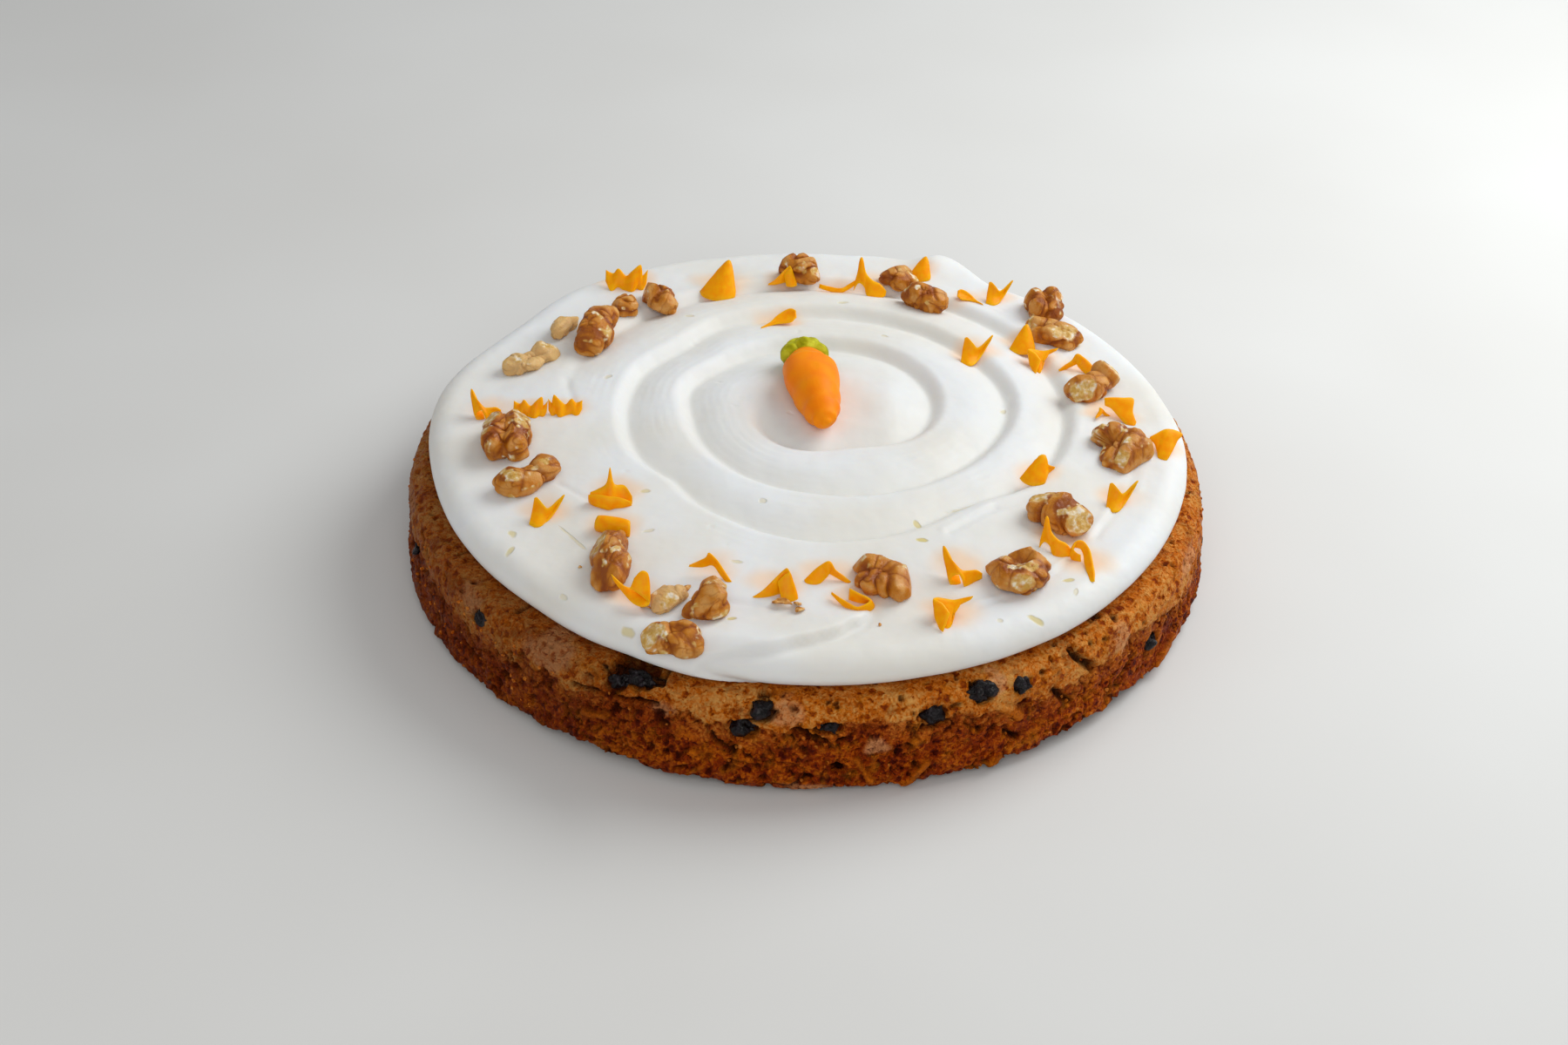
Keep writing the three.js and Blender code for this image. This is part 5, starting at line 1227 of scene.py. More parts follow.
CRUST_EDGE = [  # height of the torn edge of the crust around the cake
    [0, 19], [22, 23], [50, 20], [85, 24], [120, 19], [150, 23], [185, 21], [215, 19],
    [238, 21], [246, 25], [253, 24.5], [264, 22.5], [276, 24.5], [290, 23], [304, 20], [322, 21],
    [342, 18], [360, 19],
]
FOOT_GAP = [  # how high the foot curls up from what the cake stands on
    [0, 0.6], [40, 1.2], [90, 0.7], [150, 1.4], [200, 0.8], [226, 2.0], [244, 3.4], [256, 2.6],
    [264, 1.0], [285, 0.8], [303, 2.6], [318, 3.2], [330, 1.2], [360, 0.6],
]
# the tears are cut in and painted dark with shade
TEARS = [  # dark tears in the side: [degrees, height, degrees, height, half width, depth]
    [-115.4, 29.4, -112.2, 29.6, 1.9, 4.5], [-112.0, 30.0, -108.5, 30.4, 0.8, 3.0],
    [-97.3, 23.4, -95.2, 25.6, 1.0, 2.4], [-115.2, 23.9, -108.6, 25.2, 0.75, 3.0],
    [-120.7, 23.4, -116.4, 23.8, 0.6, 2.0], [-107.9, 19.2, -107.5, 19.0, 1.4, 2.2],
    [-100.3, 16.5, -98.4, 13.1, 0.7, 1.5], [-101.3, 19.2, -100.5, 15.7, 0.6, 1.4],
    [-90.3, 22.8, -87.5, 19.5, 0.9, 2.2], [-85.1, 9.8, -84.6, 9.4, 1.3, 2.2],
    [-90.6, 3.4, -88.6, 7.0, 0.8, 1.6], [-50.3, 28.6, -47.0, 21.0, 1.4, 3.0],
    [-54.2, 20.4, -51.8, 14.2, 1.1, 2.2], [-73.8, 20.6, -70.4, 21.4, 0.8, 2.0],
    [-62.4, 12.6, -60.2, 9.2, 0.9, 2.0], [-43.5, 9.0, -38.5, 13.6, 0.9, 2.2],
    [-27.5, 6.2, -20.0, 11.4, 0.9, 2.6], [-131.2, 18.6, -130.4, 18.0, 1.2, 2.2],
    [-143.0, 12.0, -139.0, 10.4, 1.0, 2.0],
]
TONGUES = [  # flaps of crust and shred that hang proud: the same numbers, and a height
    [-76.2, 1.6, -73.3, 9.0, 1.1, 0.9], [-64.7, 1.4, -63.0, 5.4, 1.0, 0.9],
    [-82.5, 12.5, -80.6, 4.6, 0.9, 0.5], [-62.6, 21.4, -60.2, 17.2, 1.6, 0.7],
    [-32.0, 4.2, -27.5, 7.6, 1.3, 0.9], [-118.8, 15.8, -115.6, 17.0, 1.0, 0.7],
]
PALE_PATCHES = [  # where the crust or crumb is paler: [degrees, height, half width, half height]
    [-125.5, 28.0, 10, 4.0], [-142, 27.5, 6, 3.5], [-91.7, 27.5, 5.5, 3.2], [-63, 28, 3.5, 3.0],
    [-41.2, 24.5, 5, 4.5], [-88.3, 2.3, 8, 2.0], [-80, 16, 4, 3], [-107.7, 24.0, 4, 2.2],
    [-20, 26, 7, 3], [12, 25, 8, 4], [55, 27, 9, 3], [96, 23, 7, 5], [140, 26, 9, 4], [190, 24, 8, 5],
]
print("raisins:", len(RAISINS), " tears:", len(TEARS))


# %% The plain side, and distances along it
def sponge_radius(angle, height):
    """Radius of the plain side at an angle in degrees and a height."""
    turn = np.radians(angle)
    lean = 0.5 * np.sin(3 * turn + 1) + 0.35 * np.sin(7 * turn + 2 + height / 9)
    return SPONGE_RADIUS + along(SPONGE_PROFILE, height) + lean


def arc_between(angle, other):
    """Millimetres along the side from one angle to others."""
    return ((angle - other + 180) % 360 - 180) * math.radians(1) * SPONGE_RADIUS


def to_stroke(angle, height, stroke):
    """Distance of points on the side from a short line: [degrees, height, degrees, height]."""
    start_angle, start_height, end_angle, end_height = stroke
    run = float(arc_between(end_angle, start_angle))
    rise = end_height - start_height
    across = arc_between(angle, start_angle)
    up = height - start_height
    share = np.clip((across * run + up * rise) / (run**2 + rise**2), 0, 1)
    return np.hypot(across - share * run, up - share * rise)


def side_grid(segments, spacing):
    """Angles and heights of the side's rows, evenly spaced along its curved profile."""
    fine = np.linspace(0, SPONGE_HEIGHT, 1200)
    out = along(SPONGE_PROFILE, fine)
    length = np.concatenate([[0], np.cumsum(np.hypot(np.diff(fine), np.diff(out)))])
    count = int(length[-1] / spacing) + 1
    heights = np.interp(np.linspace(0, length[-1], count), length, fine)
    slope = np.gradient(out, fine)
    lean = np.interp(heights, fine, np.arctan2(-slope, 1.0))
    angle = 360 * np.arange(segments) / segments
    return np.meshgrid(angle, heights), lean


SIDE_SEGMENTS = 1280
SIDE_SPACING = 0.5

(side_angle, side_height), side_lean = side_grid(SIDE_SEGMENTS, SIDE_SPACING)
print("the side is", side_angle.shape[0], "rows of", side_angle.shape[1])

# %% [markdown]
# ## Crust and crumb
# Crumb is a foam: its bubbles burst into pores of every size. Dots scattered at two
# distances give large and small pores, and layered bumps give the lumps between them.
# The crust is smoother, with broad blisters. A mask that is 1 on the crust joins the two.

# %% Parts of the side's relief
SHRED_COUNT = 70
MORE_TEARS = 34
FOOT_DEPTH = 4.5
HOLLOW_DEPTH = 2.8  # of the hollow round each raisin
DEEPEST, PROUDEST = -7, 1.0  # the relief's limits
PAINTED_SHADE_AT = 200  # degrees
chance = np.random.default_rng(7)


def scattered_strokes(count, lengths, widths, low, high):
    """Short lines at uneven places round the side."""
    strokes = []
    for _ in range(count):
        angle, height = chance.uniform(0, 360), chance.uniform(low, high)
        length, lean = chance.uniform(*lengths), chance.uniform(-1.2, 1.2)
        run = math.degrees(length * math.cos(lean) / SPONGE_RADIUS)
        rise = length * math.sin(lean)
        width = chance.uniform(*widths)
        strokes.append([angle, height, angle + run, min(max(height + rise, 1.0), 30), width])
    return strokes


def crumb_and_skin(spots, torn):
    """Relief of the crumb and of the skin over it, where each gets painted shade, and the crests."""
    loose = warped(spots, 5.0, 2.2, 20)
    clumps = layered(loose * [1, 1, 1.2], 4.6, 4, 9)
    crevices = 1 - ramp(np.abs(bumps(loose, 3.2, 30)), 0.0, 0.15)
    crevices = crevices * ramp(bumps(spots, 6, 31), -0.2, 0.2)
    large = 1 - ramp(to_dots(loose, 4.4, 5) + 0.2 * torn, 0.1, 0.36)
    large = large * ramp(bumps(spots, 9, 6), -0.3, 0.1)
    small = 1 - ramp(to_dots(warped(spots, 2.0, 0.8, 24), 1.8, 7), 0.12, 0.42)
    small = small * ramp(bumps(spots, 5, 8), -0.6, 0.0)
    fine = bumps(warped(spots, 2.0, 0.8, 33), 1.25, 14)
    crumb = 0.5 * clumps + 0.3 * fine - 0.4 - 1.6 * large - 0.7 * small - 0.9 * crevices
    skin = 0.3 * layered(loose, 6.0, 4, 15) + 0.26 * fine - 0.3 * small + 0.1
    nicks = 1 - ramp(to_dots(loose, 4.2, 19) + 0.15 * torn, 0.06, 0.26)
    nicks = nicks * ramp(bumps(spots, 10, 34), -0.5, 0.1)
    pores = np.clip(0.95 * large + 0.45 * small + 0.7 * crevices, 0, 1)
    # crest lightens the tops of the lumps: a painted highlight
    crest = ramp(0.55 * clumps + 0.5 * fine, -0.3, 1.0)
    return crumb, skin - 1.1 * nicks, pores, 0.85 * nicks, crest


def pale_places(angle, height, torn):
    """A mask of the paler patches."""
    pale = np.zeros_like(angle)
    for patch_angle, patch_height, half_width, half_height in PALE_PATCHES:
        across = arc_between(angle, patch_angle) / half_width
        away = np.hypot(across, (height - patch_height) / half_height)
        pale = np.maximum(pale, 1 - ramp(away + 0.3 * torn, 0.6, 1.15))
    return pale


print("pale patches:", len(PALE_PATCHES))


# %% The side's relief and masks
def side_relief(angle, height):
    """How far the side stands out from its plain form, and its masks."""
    radius = sponge_radius(angle, height)
    turn = np.radians(angle)
    spots = np.stack([radius * np.cos(turn), radius * np.sin(turn), height], axis=-1).reshape(-1, 3)
    angle, height = angle.ravel(), height.ravel()
    line = np.stack([spots[:, 0], spots[:, 1], 0 * angle], axis=1)
    edge = along(CRUST_EDGE, angle % 360) + 1.6 * bumps(line, 9, 1) + 1.0 * bumps(line, 3.2, 2)
    torn = layered(spots, 4.4, 4, 3)
    crust = ramp(height - edge + 1.7 * torn, -0.3, 0.4)

    crumb, skin, pores, nicks, crest = crumb_and_skin(spots, torn)
    relief = crumb + (skin - crumb) * crust
    # dark holds painted shade in the pores and nicks; tears, raisin hollows and the foot add to it
    # below
    dark = pores * (1 - crust) + nicks * crust

    shreds = layered(warped(spots, 3, 1, 45), 2.4, 3, 44)
    shred = np.zeros_like(relief)
    for *stroke, width in scattered_strokes(SHRED_COUNT, (2.5, 6.0), (0.35, 0.65), 2, 27):
        near = 1 - ramp(to_stroke(angle, height, stroke) + 0.3 * torn, width * 0.6, width * 1.4)
        shred = np.maximum(shred, near)
    for *stroke, width, proud in TONGUES:
        near = 1 - ramp(to_stroke(angle, height, stroke) + 0.35 * torn, width * 0.6, width * 1.3)
        relief = relief + near * (proud + 0.5 - relief)
        dark = dark * (1 - near)
        shred = np.maximum(shred, near)
    relief = relief + 0.35 * shred * (1 - dark)
    tears = [[*stroke, chance.uniform(1.2, 2.6)] for stroke in
             scattered_strokes(MORE_TEARS, (1.0, 7.0), (0.5, 1.2), 3, 25)]
    tears = [tear for tear in tears if not -150 < (tear[0] + 180) % 360 - 180 < -10]
    for *stroke, width, depth in TEARS + tears:
        ragged = to_stroke(angle, height, stroke) + 0.3 * width * torn + 0.4 * shreds
        near = 1 - ramp(ragged, width * 0.4, width * 1.5)
        relief = relief - depth * near
        dark = np.maximum(dark, near)
    for raisin_angle, raisin_height, half_width, half_height in RAISINS:
        across = arc_between(angle, raisin_angle) / half_width
        up = (height - raisin_height) / half_height
        hollow = 1 - ramp(np.hypot(across, up) + 0.35 * torn + 0.25 * shreds, 0.9, 1.25)
        relief = relief * (1 - hollow) - HOLLOW_DEPTH * hollow
        dark = np.maximum(dark, 0.95 * hollow)
    gap = along(FOOT_GAP, angle % 360) * (1 + 0.5 * bumps(line, 6, 21))
    foot = 1 - ramp(height, gap, gap + 0.9)
    relief = relief - FOOT_DEPTH * foot
    # painted shade along the curled-up foot, where the cake meets the floor
    dark = np.maximum(dark, foot)
    baked = 0.6 * crust + 0.4 * ramp(height - edge + 2 * torn, -9, 3)
    # painted shade: darkens the side's colour round one angle, the side away from the window
    painted_shade = ramp(np.abs((angle - PAINTED_SHADE_AT + 180) % 360 - 180), 75, 25)
    masks = {"crust": baked, "painted_shade": painted_shade, "dark": dark, "crest": crest}
    masks |= {"pale": pale_places(angle, height, torn), "shred": shred * (1 - dark)}
    return relief, masks


relief, side_masks = side_relief(side_angle, side_height)
relief = np.clip(relief, DEEPEST, PROUDEST).reshape(side_angle.shape)
print("the side's relief runs from", round(relief.min(), 1), "to", round(relief.max(), 1), "mm")

# %% The baked layer as one mesh
TOP_ROWS = [106, 60]
BOTTOM_ROWS = [60, 112]


def sponge_points():
    """Rows of the whole layer: its underside, its side and its top."""
    turn = np.radians(side_angle)
    out = relief * np.cos(side_lean)[:, None]
    rise = relief * np.sin(side_lean)[:, None]
    rise *= ramp(side_height, 0, 4)
    radius = sponge_radius(side_angle, side_height) + out
    height = np.clip(side_height + rise, 0, SPONGE_HEIGHT + 0.2)
    side = np.stack([radius * np.cos(turn), radius * np.sin(turn), height], axis=-1)

    def flat_row(radius, height):
        angle = turn[0]
        return np.stack([radius * np.cos(angle), radius * np.sin(angle), 0 * angle + height], axis=-1)

    below = [flat_row(radius, 0) for radius in BOTTOM_ROWS]
    above = [flat_row(radius, SPONGE_HEIGHT) for radius in TOP_ROWS]
    return np.concatenate([np.array(below), side, np.array(above)])


def with_ends(mask):
    """A mask of the side, with zeros for the rows and points beyond it."""
    count = side_angle.shape[1]
    before = np.zeros(1 + count * len(BOTTOM_ROWS))
    after = np.zeros(1 + count * len(TOP_ROWS))
    return np.concatenate([before, mask, after])


sponge_mesh, sponge_faces = stacked([0, 0, 0], sponge_points(), [0, 0, SPONGE_HEIGHT])
sponge_masks = {title: with_ends(mask) for title, mask in side_masks.items()}
print("baked layer:", len(sponge_faces), "faces")

# %% [markdown]
# ## The baked layer's finish
# Sugar browns to amber and tan on the crust. The side away from the window is darkened with
# painted shade. The crumb is darker and redder, because it is moist with oil and carrot; its
# pores, tears, raisin hollows and curled-up foot are painted almost black as shade, and the
# tops of its lumps are lightened as a painted highlight. Shreds of carrot stay orange. The
# height of the foam group lights and darkens the colour as well, a painted highlight and
# shade, so that pores look deep from far away.

# %% The baked layer's material
sponge_material, tree, shader = new_material("carrot_sponge", Specular_IOR_Level=0.08)
pores = effect(tree, foam, Size=1.5, Pores=1.0)
flecks = effect(tree, mottling, Size=1.1, Low=0.3, High=0.7, Layers=3.0, Shift=2.0)
broad = effect(tree, mottling, Size=14.0, Low=0.36, High=0.64, Layers=3.0)
lit = calculate(tree, "MULTIPLY_ADD", flecks, 0.3, calculate(tree, "MULTIPLY", broad, 0.3))
# the foam's height lights and darkens the colour: a painted highlight and shade
lit = calculate(tree, "MULTIPLY_ADD", pores, 0.75, lit)
crust_colour = three_colours(tree, lit, (0.32, 0.042, 0.0), (0.80, 0.185, 0.004), (1.0, 0.48, 0.12))
lit = calculate(tree, "SUBTRACT", lit, 0.1)
# painted highlight on the crests of the crumb
lit = calculate(tree, "MULTIPLY_ADD", stored(tree, "crest"), 0.25, lit)
crumb_colour = three_colours(tree, lit, (0.09, 0.004, 0.0), (0.37, 0.040, 0.0), (0.86, 0.20, 0.004))
colour = mix_colours(tree, stored(tree, "crust"), crumb_colour, crust_colour)
plum = effect(tree, mottling, Size=8.0, Low=0.55, High=0.67, Layers=4.0, Shift=8.0)
colour = tinted(tree, colour, (0.17, 0.014, 0.002), plum, 0.45)
golden = effect(tree, mottling, Size=5.0, Low=0.54, High=0.68, Layers=5.0, Shift=11.0)
colour = tinted(tree, colour, (0.78, 0.27, 0.008), golden, 0.3)
toasted = calculate(tree, "MULTIPLY", stored(tree, "pale"), spread(tree, lit, 0.1, 0.7, 0.15, 0.75))
colour = tinted(tree, colour, (0.92, 0.42, 0.18), toasted)
colour = tinted(tree, colour, (0.85, 0.22, 0.003), stored(tree, "shred"), 0.5)
# painted shade: pores, tears, raisin hollows and the foot turn almost black
colour = tinted(tree, colour, (0.012, 0.002, 0.0), stored(tree, "dark"), 0.92)
# painted shade on the side away from the window
colour = tinted(tree, colour, (0.10, 0.012, 0.0), stored(tree, "painted_shade"), 0.55)
shine = spread(tree, effect(tree, mottling, Size=5.0, Shift=21.0), 0, 1, 0.32, 0.7)
paint(tree, shader, colour, shine)
raise_surface(tree, shader, pores, 0.9)
make_piece("baked_layer", sponge_mesh, sponge_faces, sponge_material, "sponge", sponge_masks)

# %% [markdown]
# ## Raisins
# A raisin is a grape whose skin is far too large for it, so it folds into deep wrinkles.
# Baking tears those at the side and leaves them jagged. A ball with coarse and fine bumps
# gives the rags, and folds cut into it. They are almost black, with a soft waxy shine.

# %% Raisins in the side
RAISIN_BALL = ball(4)


def raisin_surface(angle, height, half_width, half_height, seed):
    """Points of one raisin in its place."""
    directions, _ = RAISIN_BALL
    size = np.array([RAISIN_DEPTH, half_width, half_height])
    plain = directions * size * (1 + 0.3 * bumps(directions * 3 + 11 * seed, 2.4, seed))[:, None]
    spots = warped(plain + 20 * seed, 2.6, 1.4, seed)
    folds = np.abs(bumps(spots, 1.9, seed))
    relief = 1.6 * bumps(spots, 2.8, seed + 3) + 0.6 * bumps(spots, 1.3, seed + 5)
    relief = relief + 0.1 - 0.9 * (1 - ramp(folds, 0.0, 0.3))
    points = plain + directions * relief[:, None]
    points[:, 0] += float(sponge_radius(angle, height)) - RAISIN_SINK
    points[:, 0] = np.minimum(points[:, 0], RAISIN_LIMIT)
    points[:, 2] += height
    return turned(points, angle)


raisin_material, tree, shader = new_material("raisin", Specular_IOR_Level=0.25)
worn = effect(tree, mottling, Size=1.8, Low=0.35, High=0.7)
colour = three_colours(tree, worn, (0.002, 0.001, 0.001), (0.006, 0.003, 0.004), (0.02, 0.012, 0.018))
paint(tree, shader, colour, spread(tree, worn, 0, 1, 0.28, 0.5))
raise_surface(tree, shader, effect(tree, veins, Size=2.4, Width=0.05), -0.18)

points = np.concatenate([raisin_surface(*raisin, n) for n, raisin in enumerate(RAISINS)])
step = len(RAISIN_BALL[0])
faces = [tuple(k + step * n for k in face) for n in range(len(RAISINS)) for face in RAISIN_BALL[1]]
make_piece("raisins", points, faces, raisin_material)
print("raisins:", len(faces), "triangles")

# %% [markdown]
# ## The icing as a piece
# Two masks are stored on the icing: one for painted shade deep in the groove, and one for a
# painted orange glow of light around each curl.

# %% Store the icing's masks and make it
def icing_masks(points):
    """How deep in the groove, and how near to a curl, each point of the icing lies."""
    x, y = points[:, 0], points[:, 1]
    # painted shade deep in the groove
    painted_groove_shade = groove_cut(x, y)
    # a painted orange glow of light near each curl
    painted_curl_glow = np.zeros(len(points))
    for curl_x, curl_y, _, size, _, _ in CURLS:
        apart = np.hypot(x - curl_x, (y - curl_y) / 0.8) + 0.5 * size * bumps(points, 7, 41)
        painted_curl_glow = np.maximum(painted_curl_glow, 1 - ramp(apart, 0.5 * size, 1.9 * size))
    return {"painted_groove_shade": painted_groove_shade, "painted_curl_glow": painted_curl_glow}


masks = icing_masks(icing_points)
make_piece("swirled_icing", icing_points, icing_faces, icing_material, "icing", masks)
print("icing placed")

# %% [markdown]
# ## Scraps of nut skin and loose crumbs
# A crumpled flake of skin came off a kernel and lies on the icing, with a few small bits. A
# scrap is a thin sheet that is bent along its length and pleated. Crumbs that cling to the
# side are tiny lumps: they break up its outline, which a smooth wall would give away.

# %% Scraps of skin
SCRAPS = [  # [x, y, above the icing, length, width, degrees turned, tilt, bend]
    [-5.6, -94.4, 0.7, 6.0, 2.6, -16, 10, 1.1], [-1.2, -95.2, 1.1, 4.6, 2.0, -78, 26, 0.8],
    [-0.4, -97.2, 0.8, 3.6, 1.9, 50, -18, 0.7], [-43.9, -97.0, 0.5, 3.6, 1.2, -30, 6, 0.5],
    [-34.6, -91.6, 1.2, 7.5, 3.4, 38, 16, 0.8], [-64.0, -78.6, 0.2, 1.1, 0.8, 10, 0, 0.2],
    [22.0, -101.6, 0.1, 1.0, 0.7, 40, 0, 0.2],
]
SCRAP_LONG = 26
SCRAP_ACROSS = 12
SCRAP_THICKNESS = 0.3


def scrap_surface(length, width, tilt, bend, seed):
    """Points of a thin pleated leaf that narrows to its ends."""
    t, across = np.linspace(0, 1, SCRAP_LONG), np.linspace(-1, 1, SCRAP_ACROSS)
    t, across = np.meshgrid(t, across, indexing="ij")
    half = width / 2 * (0.12 + np.sin(math.pi * t**0.8) ** 0.7)
    flat = np.stack([(t - 0.5) * length, across * half, 0 * t], axis=-1).reshape(-1, 3)
    pleat = 0.5 * bumps(flat * [0.4, 1.6, 1] + 9 * seed, 1.3, seed)
    pleat = pleat + 0.4 * bumps(flat + 9 * seed, 2.2, seed + 1)
    rise = bend * np.sin(math.pi * t.ravel()) - 0.25 * bend * across.ravel() ** 2
    rise += (t.ravel() - 0.5) * length * math.sin(math.radians(tilt))
    flat[:, 2] = rise + pleat
    half = [0, 0, SCRAP_THICKNESS / 2]
    return np.concatenate([flat + half, flat - half])


scrap_faces = sheet_faces(SCRAP_LONG, SCRAP_ACROSS)[:, ::-1]
points, faces = [], []
for seed, (x, y, above, length, width, turn, tilt, bend) in enumerate(SCRAPS):
    scrap = turned(scrap_surface(length, width, tilt, bend, seed), turn)
    scrap = scrap + [x, y, icing_height(x, y) + above]
    faces += (scrap_faces + seed * len(scrap)).tolist()
    points.append(scrap)
skin_material, tree, shader = new_material("papery_skin", Specular_IOR_Level=0.3, Roughness=0.5)
streaks = effect(tree, mottling, Size=1.6, Low=0.35, High=0.65)
colour = three_colours(tree, streaks, (0.36, 0.11, 0.01), (0.60, 0.26, 0.05), (0.78, 0.48, 0.18))
paint(tree, shader, colour)
make_piece("scraps", np.concatenate(points), faces, skin_material)
print("scraps:", len(SCRAPS))

# %% Crumbs that cling to the side
CRUMB_COUNT = 420
CRUMB_BALL = ball(2)
draw = np.random.default_rng(23)
points, faces = [], []
for number in range(CRUMB_COUNT):
    angle, height = draw.uniform(0, 360), draw.uniform(1.2, 27)
    size = draw.uniform(0.35, 0.85) * draw.uniform(0.6, 1, 3)
    shape = CRUMB_BALL[0] * size * (1 + 0.4 * bumps(CRUMB_BALL[0] + 5 * number, 0.8, number))[:, None]
    column = int(angle / 360 * side_angle.shape[1])
    row = int(np.searchsorted(side_height[:, 0], height))
    out = float(sponge_radius(angle, height)) + relief[row, column]
    points.append(turned(shape + [min(out, SPONGE_RADIUS + 0.4), 0, height], angle))
    faces += [tuple(k + number * len(shape) for k in face) for face in CRUMB_BALL[1]]
points = np.concatenate(points)
# the crumbs carry a painted highlight through crest
crumb_masks = {"crust": np.full(len(points), 0.5), "crest": np.full(len(points), 0.6)}
make_piece("crumbs", points, faces, sponge_material, masks=crumb_masks)
print("crumbs:", len(faces), "triangles")

# %% [markdown]
# ## The marzipan carrot
# It was rolled between the fingers from coloured marzipan: a plump tapered body, slightly
# dented, with fine streaks of colour along it, and a pleated green cap pressed on its end.

# %% The carrot's body
CARROT_TIP = (5.9, -9.5)
CARROT_NECK = (-1.0, 28.5)
CARROT_HEIGHT_RATIO = 0.86
CARROT_SINK = 2.2
CARROT_PROFILE = [
    [0, 1.6], [0.06, 3.9], [0.2, 6.0], [0.42, 7.9], [0.62, 8.8], [0.8, 8.5], [0.92, 6.6], [1, 5.2],
]
CARROT_SEGMENTS = 96

carrot_run = Vector(CARROT_NECK) - Vector(CARROT_TIP)
carrot_length = carrot_run.length
carrot_yaw = math.degrees(math.atan2(carrot_run.y, carrot_run.x)) - 90
carrot_middle = (Vector(CARROT_NECK) + Vector(CARROT_TIP)) / 2
widest = max(half for _, half in CARROT_PROFILE)
carrot_height = icing_height(*carrot_middle) + widest * CARROT_HEIGHT_RATIO - CARROT_SINK
carrot_centre = np.array([*carrot_middle, carrot_height])


def carrot_rows():
    """Rings of the carrot's body from its tip to its neck."""
    rows = []
    turn = np.radians(360 * np.arange(CARROT_SEGMENTS) / CARROT_SEGMENTS)
    for stop in np.concatenate([[0, 0.008, 0.02, 0.035, 0.05], np.linspace(0.07, 1, 60)]):
        dent = 1 - 0.05 * np.sin(2 * turn + 5 * stop) - 0.03 * np.sin(3 * turn - 9 * stop)
        half = along(CARROT_PROFILE, stop) * dent
        ring = np.stack(
            [half * np.cos(turn), 0 * turn + (stop - 0.5) * carrot_length,
             -half * CARROT_HEIGHT_RATIO * np.sin(turn)], axis=1,
        )
        away = ring / np.maximum(np.linalg.norm(ring * [1, 0, 1], axis=1), 1)[:, None] * [1, 0, 1]
        soft = 0.1 * bumps(ring + 60, 7.5, 31) + 0.02 * bumps(ring * [1, 0.4, 1] + 60, 1.8, 32)
        rows.append(ring + away * soft[:, None])
    return np.array(rows)


tip, end = [0, -0.5 * carrot_length - 0.8, 0], [0, 0.5 * carrot_length + 1.5, 0]
points, faces = stacked(tip, carrot_rows(), end)
body_points = turned(points, carrot_yaw) + carrot_centre
body_points[:, 2] = np.minimum(body_points[:, 2], top_of("carrot_body"))
print("carrot:", round(carrot_length, 1), "mm long")

# %% The carrot's green cap
LEAF_LUMPS = [
    [-3.8, 2.6, 0.2, 4.0], [0.4, 3.4, 1.0, 4.6], [4.0, 2.4, 0.0, 4.0], [-1.8, 5.2, 0.4, 3.9],
    [2.6, 5.6, 0.2, 3.8], [-0.6, 1.6, -1.6, 4.6],
]
LEAF_MIDDLE = np.array([0.2, 3.4, 0.0])


def cap_points():
    """The cap's surface: lumps run into each other, with pleats pinched along it."""
    directions, faces = ball(5)
    lobes = np.array([[x, y, z, r, r * 0.92, r] for x, y, z, r in LEAF_LUMPS])
    reach = lobe_reach(lobes, LEAF_MIDDLE, directions, 0.35, 12.0, 0.25)
    points = LEAF_MIDDLE + directions * reach[:, None]
    nearest = np.sort(lobe_depths(lobes, points), axis=1)
    pleat = np.exp(-(nearest[:, 1] - nearest[:, 0]) / 0.28)
    relief = 0.28 * layered(warped(points + 90, 3, 0.8, 33), 3.0, 3, 34) - 0.35 * pleat - 0.1
    points = points + directions * relief[:, None]
    points[:, 1] += carrot_length / 2
    return turned(points, carrot_yaw) + carrot_centre, faces, {"pleat": pleat}


cap, cap_faces, cap_masks = cap_points()
print("cap:", len(cap_faces), "triangles")

# %% [markdown]
# ## The carrot's finish
# Marzipan is matte and a little waxy. Colour was kneaded in, so it streaks along the body.

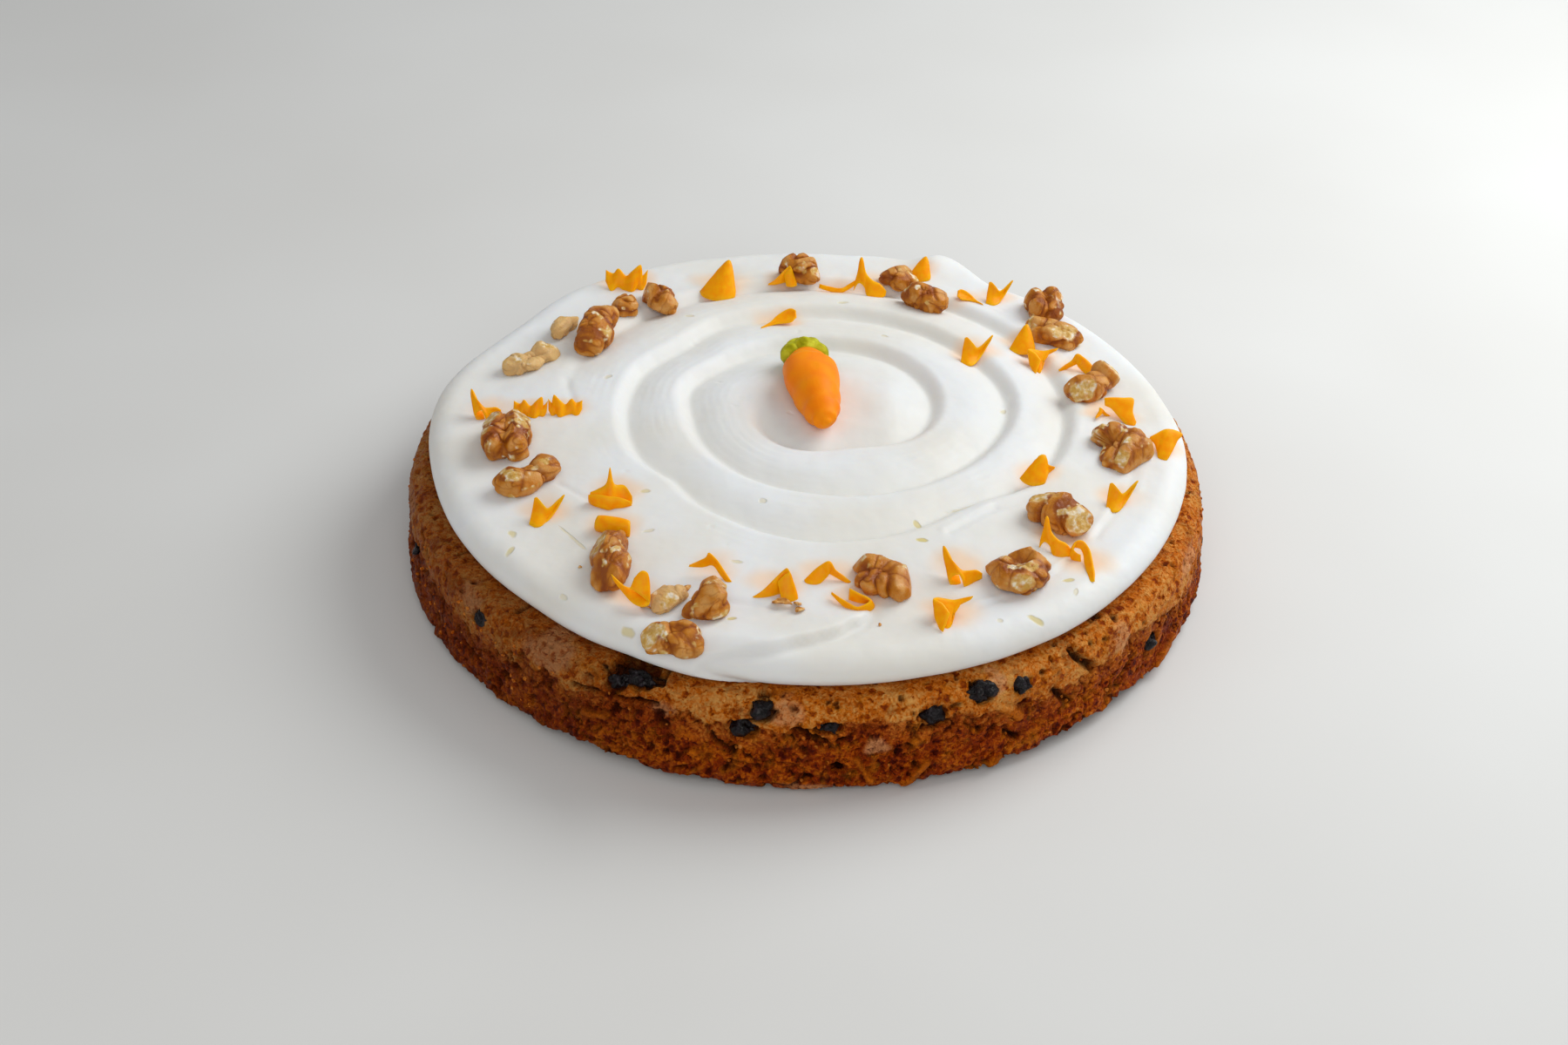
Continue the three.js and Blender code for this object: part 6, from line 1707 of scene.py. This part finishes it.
# %% The orange marzipan
carrot_material, tree, shader = new_material(
    "orange_marzipan", Specular_IOR_Level=0.12,
    Subsurface_Weight=0.25, Subsurface_Scale=0.002, Subsurface_Radius=(1.0, 0.45, 0.12),
)
streaks = effect(tree, mottling, Size=7.0, Low=0.35, High=0.65, Layers=2.0)
colour = three_colours(tree, streaks, (0.98, 0.228, 0.0), (1.0, 0.262, 0.0), (1.0, 0.295, 0.0))
paint(tree, shader, colour, spread(tree, streaks, 0, 1, 0.42, 0.56))
raise_surface(tree, shader, effect(tree, grain, Size=1.4, Pits=0.15), 0.1)
make_piece("carrot_shape", body_points, faces, carrot_material, "carrot_body")

# %% The green marzipan
cap_material, tree, shader = new_material(
    "green_marzipan", Specular_IOR_Level=0.1, Subsurface_Weight=0.15, Subsurface_Scale=0.0015
)
patches = effect(tree, mottling, Size=3.4, Low=0.35, High=0.65)
colour = three_colours(tree, patches, (0.30, 0.28, 0.001), (0.45, 0.42, 0.006), (0.62, 0.60, 0.030))
# painted shade in the pleats where the lumps meet
colour = tinted(tree, colour, (0.22, 0.17, 0.0), stored(tree, "pleat"), 0.35)
paint(tree, shader, colour, spread(tree, patches, 0, 1, 0.45, 0.6))
raise_surface(tree, shader, effect(tree, grain, Size=1.1, Pits=0.2), 0.14)
make_piece("carrot_cap", cap, cap_faces, cap_material, "carrot_top", cap_masks)

# %% [markdown]
# ## The floor
# A plain pale floor catches the cake's shadow. It isn't part of the cake.

# %% The floor
floor_mesh = bpy.data.meshes.new("floor")
FLOOR_HALF = 4000
corners = np.array([[-1, -1, 0], [1, -1, 0], [1, 1, 0], [-1, 1, 0]]) * FLOOR_HALF
floor_mesh.from_pydata((corners * MM).tolist(), [], [(0, 1, 2, 3)])
floor = bpy.data.objects.new("floor", floor_mesh)
bpy.context.scene.collection.objects.link(floor)
floor_material, tree, shader = new_material("pale_floor", Roughness=0.7)
cloudy = effect(tree, mottling, Size=160.0, Low=0.3, High=0.7, Layers=2.0)
paint(tree, shader, mix_colours(tree, cloudy, (0.70, 0.69, 0.67, 1), (0.74, 0.735, 0.72, 1)))
floor_mesh.materials.append(floor_material)
print("floor ready")

# %% [markdown]
# ## The end
# The dressed cake must stay inside the box of the imported solids.

# %% Finish
print("the cake is dressed")
